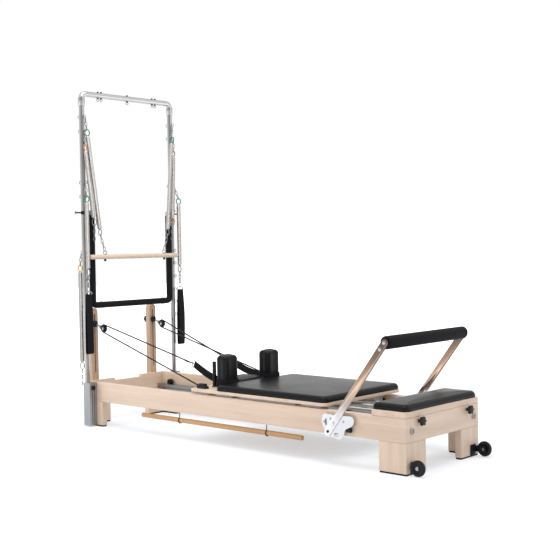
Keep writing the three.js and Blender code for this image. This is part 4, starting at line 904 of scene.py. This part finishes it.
spring_steel = brushed("spring_steel", (0.50, 0.475, 0.455), 0.40, (30, 30, 30), 0.12)
bands = {"green": plain("green_band", (0.01, 0.22, 0.12), 0.4),
         "yellow": plain("yellow_band", (0.70, 0.48, 0.04), 0.4),
         "orange": plain("orange_band", (0.66, 0.27, 0.09), 0.4)}


def chain(start, end, count, wire=1.7, width=5.0):
    """Oval links from one point to another, each a quarter turn from the last."""
    start, end = np.array(start, float), np.array(end, float)
    along = unit(end - start)
    first = unit(np.cross(along, [0.3, 1, 0.1]))
    sides = [first, np.cross(along, first)]
    step = np.linalg.norm(end - start) / count
    return [loop(start + along * step * (k + 0.5), along, sides[k % 2], step / 2 + wire, width, wire, 20, 7)
            for k in range(count)]


def hung_spring(name, eye, top, bottom, colour, body, node, oval=(19, 14), low_band=False):
    """The coil and its end cones, with an oval ring on top and a chain from it to the eye bolt. The ring
    is coloured, or else plain with a coloured ring at the lower end."""
    eye, top, bottom = (np.array(v, float) for v in (eye, top, bottom))
    along = unit(top - bottom)
    wound = coil(top, bottom, spring_radius - 1.1, 1.3, 2.4)
    made = [piece(f"{name}_coil", [wound], spring_steel, body, [node])]
    cone = [(spring_radius - 1.2, -3), (spring_radius, 0), (spring_radius - 0.5, 3),
            (spring_radius * 0.6, 8), (spring_radius * 0.32, 13), (2, 14)]
    ends = [turned(cone, place, along * way, 24) for place, way in ((top, 1), (bottom, -1))]
    made.append(piece(f"{name}_ends", ends, spring_steel, body))
    middle = top + along * (12 + oval[0])
    ring = loop(middle, along, level, oval[0], oval[1], 3.4, 36, 12)
    if low_band:
        made.append(piece(f"{name}_ring", [ring], link_steel, body, ends=False))
        ring = loop(bottom - along * 24, along, level, 15, 14, 4.0, 36, 12)
    made.append(piece(f"{name}_band", [ring], bands[colour], body, ends=False))
    tip = middle + along * (oval[0] - 3)
    links = chain(tip, eye + unit(tip - eye) * 2, 3, 2.2, 6.5)
    made.append(piece(f"{name}_links", links, link_steel, body, ends=False))
    return made


roll_x, roll_y, roll_z, spring_radius = 124.0, 249, 1057.0, 13.4
for side, way in both_sides:
    eye = (post_x + eye_reach, way * 364.9, 1926)
    hung_spring(f"roll_spring_{side}", eye, (105.2, way * 351, 1802), (roll_x, way * 288, 1240), "green",
                "roll_down", f"roll_down_spring_{side}")
    hook = loop((roll_x, way * 285, 1212), (0, 0, 1), level, 18, 9, 2.6)
    low_chain = chain((roll_x, way * 283, 1196), (roll_x, way * roll_y, 1093), 4, 2.0, 6.5)
    piece(f"roll_chain_{side}", [hook] + low_chain, link_steel, "roll_down", ends=False)
    ring = loop((roll_x, way * roll_y, roll_z + 26), (0, 0, 1), level, 11, 10, 2.2)
    piece(f"roll_bar_eye_{side}", [ring], chrome, "roll_down", ends=False)
    nut = [pin((roll_x, way * roll_y, roll_z - 13), (roll_x, way * roll_y, roll_z - 28), 7.5, 2, 24),
           pin((roll_x, way * roll_y, roll_z + 12), (roll_x, way * roll_y, roll_z + 18), 6, 1, 18)]
    piece(f"roll_bar_nut_{side}", nut, black_plastic, "roll_down")

# Roll-down bar: a turned maple dowel with domed ends. Two eye bolts through it, with black nuts
# below, hang it from the chains of its springs.
dowel = [(3, -370), (9, -368.5), (13, -365), (15, -359), (15, 359), (13, 365), (9, 368.5), (3, 370)]
rod = turned(dowel, (roll_x, 0, roll_z), (0, 1, 0))
piece("roll_down_dowel", [rod], maple_across, "roll_down", ["roll_down_bar"])

# Springs of the push-through bar: from the second eye bolts down to the bar's arms. From each
# lower end a heart-shaped ring and a short spare chain hang over the foam.
eye_y, spare_x, spare_y, still_z, moved_z = 372.1, 124, 328, 1380, 1310
for side, way in both_sides:
    eye = (post_x + eye_reach, way * eye_y, 1836)
    made_here = hung_spring(f"push_spring_{side}", eye, (104, way * 368, 1713), (122, way * 333, 1312),
                            "orange", None, f"push_bar_spring_{side}", oval=(16, 8), low_band=side == "far")
    for made in made_here:
        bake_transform(made)
    heart = loop((spare_x, way * spare_y, 1276), (0, 0, 1), level, 22, 13, 2.6)
    tail = chain((spare_x, way * spare_y, 1256), (spare_x - 4, way * (spare_y - 1), 1160), 4, 2.0, 6.5)
    piece(f"push_spring_tail_{side}", [heart] + tail, link_steel, "push_bar", ends=False)

# Arm springs: each hangs from an eye bolt of its post and ends in a hook and a chain. The chain
# carries a long hand loop of wide webbing on a D-ring, with a sewn patch at its top.
arm_x, arm_y, loop_top, loop_low, loop_half = 126.0, 386.0, 826, 464, 10
for side, way, bulge in (("near", -1, 3.0), ("far", 1, 9.0)):
    y = way * arm_y
    eye = (post_x + eye_reach, way * eye_y, 1516)
    hung_spring(f"arm_spring_{side}", eye, (arm_x, y, 1388), (arm_x, y, 994), "green", f"arm_{side}",
                f"arm_spring_{side}")
    hook = loop((arm_x, y, 962), (0, 0, 1), level, 20, 9, 2.6)
    piece(f"arm_chain_{side}", [hook] + chain((arm_x, y, 944), (arm_x, y, 846), 4, 2.0, 6.5), link_steel,
          f"arm_{side}", ends=False)
    turn = np.linspace(np.pi, 2 * np.pi, 12)
    bottom = np.stack([arm_x + loop_half * np.cos(turn), 0 * turn + y,
                       loop_low + loop_half * np.sin(turn)], 1)
    climb = np.linspace(0, 1, 16)[1:, None]
    sway = np.array([1.0, 0, 0]) * np.sin(np.pi * climb)
    up_right = bottom[-1] + (np.array([arm_x + 1.8, y, loop_top]) - bottom[-1]) * climb + bulge * sway
    up_left = bottom[0] + (np.array([arm_x - 1.8, y, loop_top]) - bottom[0]) * climb - 3.0 * sway
    band(f"hand_band_{side}", np.vstack([up_left[::-1], bottom, up_right]), 49, 3.2, (0, 1, 0),
         f"arm_{side}", [f"hand_loop_{side}"])
    patch = np.array([[arm_x, y, z] for z in np.linspace(745, 806, 8)])
    band(f"hand_patch_{side}", patch, 49, 9, (0, 1, 0), f"arm_{side}")
    ring = loop((arm_x, y, 832), (0, 1, 0), (0, 0, 1), 26, 10, 2.8)
    piece(f"hand_ring_{side}", [ring], link_steel, f"arm_{side}", ends=False)

# Leg spring: one long spring with a yellow ring, stored on the back of the near post. Its lower
# hook is chained to the base profile.
leg_x, leg_y = 46, -387
hung_spring("leg_spring_near", (post_x - eye_reach, -eye_y, 1081), (leg_x, leg_y, 956), (leg_x, leg_y, 407),
            "yellow", "bed", "leg_spring", oval=(19, 12))
heart = loop((leg_x, leg_y, 374), (0, 0, 1), level, 22, 12, 2.8)
piece("leg_spring_chain", [heart] + chain((leg_x, leg_y, 354), (leg_x, leg_y, 252), 5), link_steel, "bed",
      ends=False)

# Carriage springs: three under the gap, hooked to a steel bar below the platform's edge. The real
# springs stretch as the carriage leaves for the head end; these are drawn at one length.
steel_dark = brushed("dark_steel", (0.10, 0.10, 0.10), 0.45, (300, 300, 300))
piece("spring_bar_steel", [board(*span("spring_bar"), 2.0, 1)], steel_dark, "bed", ["spring_bar"])
spring_gap, hooked_x, z = 120.0, 2230.0, 251.0
for k in (-1, 0, 1):
    y = k * spring_gap
    low, high = (hooked_x, y, z), (foot - 332, y, z)
    body_coil = piece(f"ride_spring_{k + 2}_coil", [coil(low, high, 8, 1.5, 3.2, 14, 6)], spring_steel,
                      None, [f"carriage_spring_{k + 2}"])
    rings = [loop((x, y, z), (1, 0, 0), (0, 0, 1), length, 7, 2.0)
             for x, length in ((hooked_x + 12, 14), (foot - 340, 12))]
    hooks = piece(f"ride_spring_{k + 2}_hooks", rings, chrome, None, ends=False)
    for made in (body_coil, hooks):
        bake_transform(made)
    tag = turned([(9.8, 0), (11, 1), (11, 17), (9.8, 18)], (hooked_x - 67, y, z), (1, 0, 0), 28)
    piece(f"ride_spring_{k + 2}_tag", [tag], bands[("yellow", "orange", "green")[k + 1]], "bed")

# Foot bar: two flat chromed arms on lobed bracket plates, and a fat foam roller between them. Their
# colour is a painted reflection that changes with height: pale below, brown half way up, dark on top.
def painted_reflection_finish(name, stops):
    """Bright plate with a painted reflection: its colour changes with height, in bands that a slow noise
    bends a little.
    """
    finish = Finish(bpy.data.materials.new(name))
    where = finish.node("ShaderNodeTexCoord", output="Object")
    height = finish.node("ShaderNodeSeparateXYZ", None, {"Vector": where}, "Z")
    smear = finish.node("ShaderNodeTexNoise", None, {"Vector": where, "Scale": 16.0, "Detail": 3.0})
    tone = finish.node("ShaderNodeValToRGB", {"stops": stops}, {"Fac": height + (smear - 0.5) * 0.08})
    return surface(finish, Base_Color=tone, Roughness=0.08 + smear * 0.06, Metallic=1.0)


arm_painted_reflection = painted_reflection_finish("arm_painted_reflection", [(0.20, (0.80, 0.80, 0.80, 1)), (0.27, (0.66, 0.63, 0.61, 1)),
                                          (0.33, (0.47, 0.38, 0.325, 1)), (0.41, (0.60, 0.44, 0.33, 1)),
                                          (0.50, (0.44, 0.30, 0.22, 1)), (0.57, (0.26, 0.19, 0.15, 1)),
                                          (0.63, (0.17, 0.13, 0.11, 1))])
pivot, roller, arm_half, arm_tail = np.array([2042.0, 206.0]), np.array([2371.0, 633.0]), 19.5, 60
run = unit(roller - pivot)
out = half_round(run, np.array([-run[1], run[0]]), 14)
centres = np.repeat([roller, pivot - run * arm_tail], len(out), axis=0)
out = np.vstack([out, -out])
faces = ((350.3, 1.2), (350.7, 0.35), (351.5, 0), (357.1, 0), (357.9, 0.35), (358.3, 1.2))
arms = [[np.insert(centres + (arm_half - inset) * out, 1, way * depth, axis=1) for depth, inset in faces]
        for way in (-1, 1)]
piece("foot_bar_arms", arms, arm_painted_reflection, "footbar", ["footbar_frame"])
caps = [pin((x, way * 349.8, z), (x, way * 363, z), 10, 2, 32)
        for way in (-1, 1) for x, z in (roller, roller - run * 42)]
piece("foot_bar_bolts", caps, stainless, "footbar")
caps = [pin((x, way * 357, z), (x, way * 361, z), 7.5, 1.5, 28)
        for way in (-1, 1) for x, z in (pivot, pivot - run * 52)]
piece("foot_bar_pivots", caps, black_plastic, "footbar")
ease = np.radians(np.linspace(80, 0, 6))
roller_radius, roller_half, roller_edge = 33, 350, 7
edge = np.stack([roller_radius - roller_edge + roller_edge * np.cos(ease),
                 roller_half - roller_edge + roller_edge * np.sin(ease)], 1)
profile = np.vstack([edge * [1, -1], edge[::-1]])
grip = turned(profile, (roller[0], 0, roller[1]), (0, 1, 0), 72)
piece("foot_roller", [grip], foam, "footbar_roller", ["footbar_roller"])
bright_plate = polished("bright_plate", (0.80, 0.80, 0.81), 0.12, 0.35)
screw_places = ((2023, 230), (2106, 222), (1981, 212))
for side, way in both_sides:
    dress(f"footbar_bracket_{side}", bright_plate)
    screws = [pin((x, way * 349.2, z), (x, way * 350.2, z), 7, 0.4, 24) for x, z in screw_places]
    piece(f"bracket_screws_{side}", screws, steel_dull, "bed")
    block = board([2118, way * 342 - 8, 170], [2150, way * 342 + 8, 192], 3, 1)
    piece(f"bracket_block_{side}", [block], black_plastic, "bed")

# Foot end: star knobs that lock the platform, small chrome eyes beside them, and a transport
# wheel at each corner with a hard, shiny tyre on a chrome hub.
wheel_black = plain("wheel_black", (0.008, 0.008, 0.009), 0.22, 0.2, Specular_IOR_Level=0.22)
star_x, star_y, star_z, board_face, wheel_x, wheel_y, wheel_z = 2486, 219.0, 247, 2472.4, 2523, 306.0, 33
tyre = [(23, -6), (24.5, -9.5), (28, -11), (34, -11), (38, -8.6), (40, -4), (40, 4), (38, 8.6), (34, 11),
        (28, 11), (24.5, 9.5), (23, 6)]
web = [(8, -4), (20, -4), (26.5, -6), (26.5, 6), (20, 4), (8, 4)]
hub = [(2, -11.5), (8, -11.5), (9.5, -10), (9.5, 10), (8, 11.5), (2, 11.5)]
for side, way in both_sides:
    y = way * star_y
    star = [lobed((star_x, y, star_z), (1, 0, 0), 17.5, 24, 6, 17),
            pin((board_face - 0.2, y, star_z), (star_x + 1, y, star_z), 9, 1)]
    piece(f"star_knob_{side}", star, black_plastic, f"knob_{side}", [f"foot_knob_{side}"])
    eye = loop((2477, way * 282, 204), (0, 0, 1), (0, 1, 0), 13, 12, 2.6)
    piece(f"foot_eye_{side}", [eye], link_steel, "bed", ends=False)
    plate_y, cheek_y = sorted((way * 295, way * 246)), sorted((way * 290, way * 294.6))
    fork = [board([board_face, plate_y[0], -1], [board_face + 5, plate_y[1], 56], 1.5, 0, 4),
            board([board_face, cheek_y[0], 17], [wheel_x + 15, cheek_y[1], 49], 1.2, 1, 6),
            pin((wheel_x, way * 290, wheel_z), (wheel_x, way * 317, wheel_z), 5, 1)]
    piece(f"wheel_fork_{side}", fork, black_plastic, "bed", [f"transport_fork_{side}"])
    for part, profile, finish, slot, node, count in (
            ("tyre", tyre, wheel_black, "tyre", [f"transport_wheel_{side}"], 64),
            ("web", web, black_plastic, "tyre", (), 48), ("hub", hub, chrome, "chrome", (), 32)):
        round_axle = turned(profile, (wheel_x, way * wheel_y, wheel_z), (0, 1, 0), count)
        piece(f"wheel_{part}_{side}", [round_axle], finish, f"transport_{side}", node)
    bolt = pin((wheel_x, way * 290.5, wheel_z), (wheel_x, way * 286.5, wheel_z), 6.5, 1.5, 24)
    piece(f"wheel_bolt_{side}", [bolt], chrome, "bed")

# Pole: a turned exercise pole of oiled beech with eased ends, parked under the near rail. Two dark
# wire hooks hold it there.
beech = wood("orange_beech", (0.62, 0.34, 0.14), (0.40, 0.19, 0.07), (1.4, 26, 26), (1, 2, 5))
low, high = span("pole")
eased = [(4, 0), (10, 1.5), (13.5, 5), (14, 9)]
rod = [(radius, low[0] + x) for radius, x in eased] + [(radius, high[0] - x) for radius, x in eased[::-1]]
pole_y, pole_z, hook_radius = -311, 101, 16.5
piece("pole_rod", [turned(rod, (0, pole_y, pole_z), (1, 0, 0))], beech, "bed", ["pole"])
hook_shapes = []
for x in (863, 1552):
    turn = np.linspace(0.15 * np.pi, -1.25 * np.pi, 20)
    round_pole = np.stack([0 * turn + x, pole_y + hook_radius * np.cos(turn),
                           pole_z + hook_radius * np.sin(turn)], 1)
    line = np.vstack([round_pole, round_pole[-1] + [0, 6, 14], [x, -318, 147]])
    hook_shapes.append(carried(line, circle(2.6, 12), (1, 0, 0)))
piece("pole_hooks", hook_shapes, black_plastic, "bed")

# Carriage wheels: black nylon rollers on steel axles, which run in the tracks. They are seen only
# from below.
for end in ("head", "foot"):
    dress(f"carriage_wheels_{end}", black_plastic)

bpy.context.scene.view_settings.view_transform = "Standard"
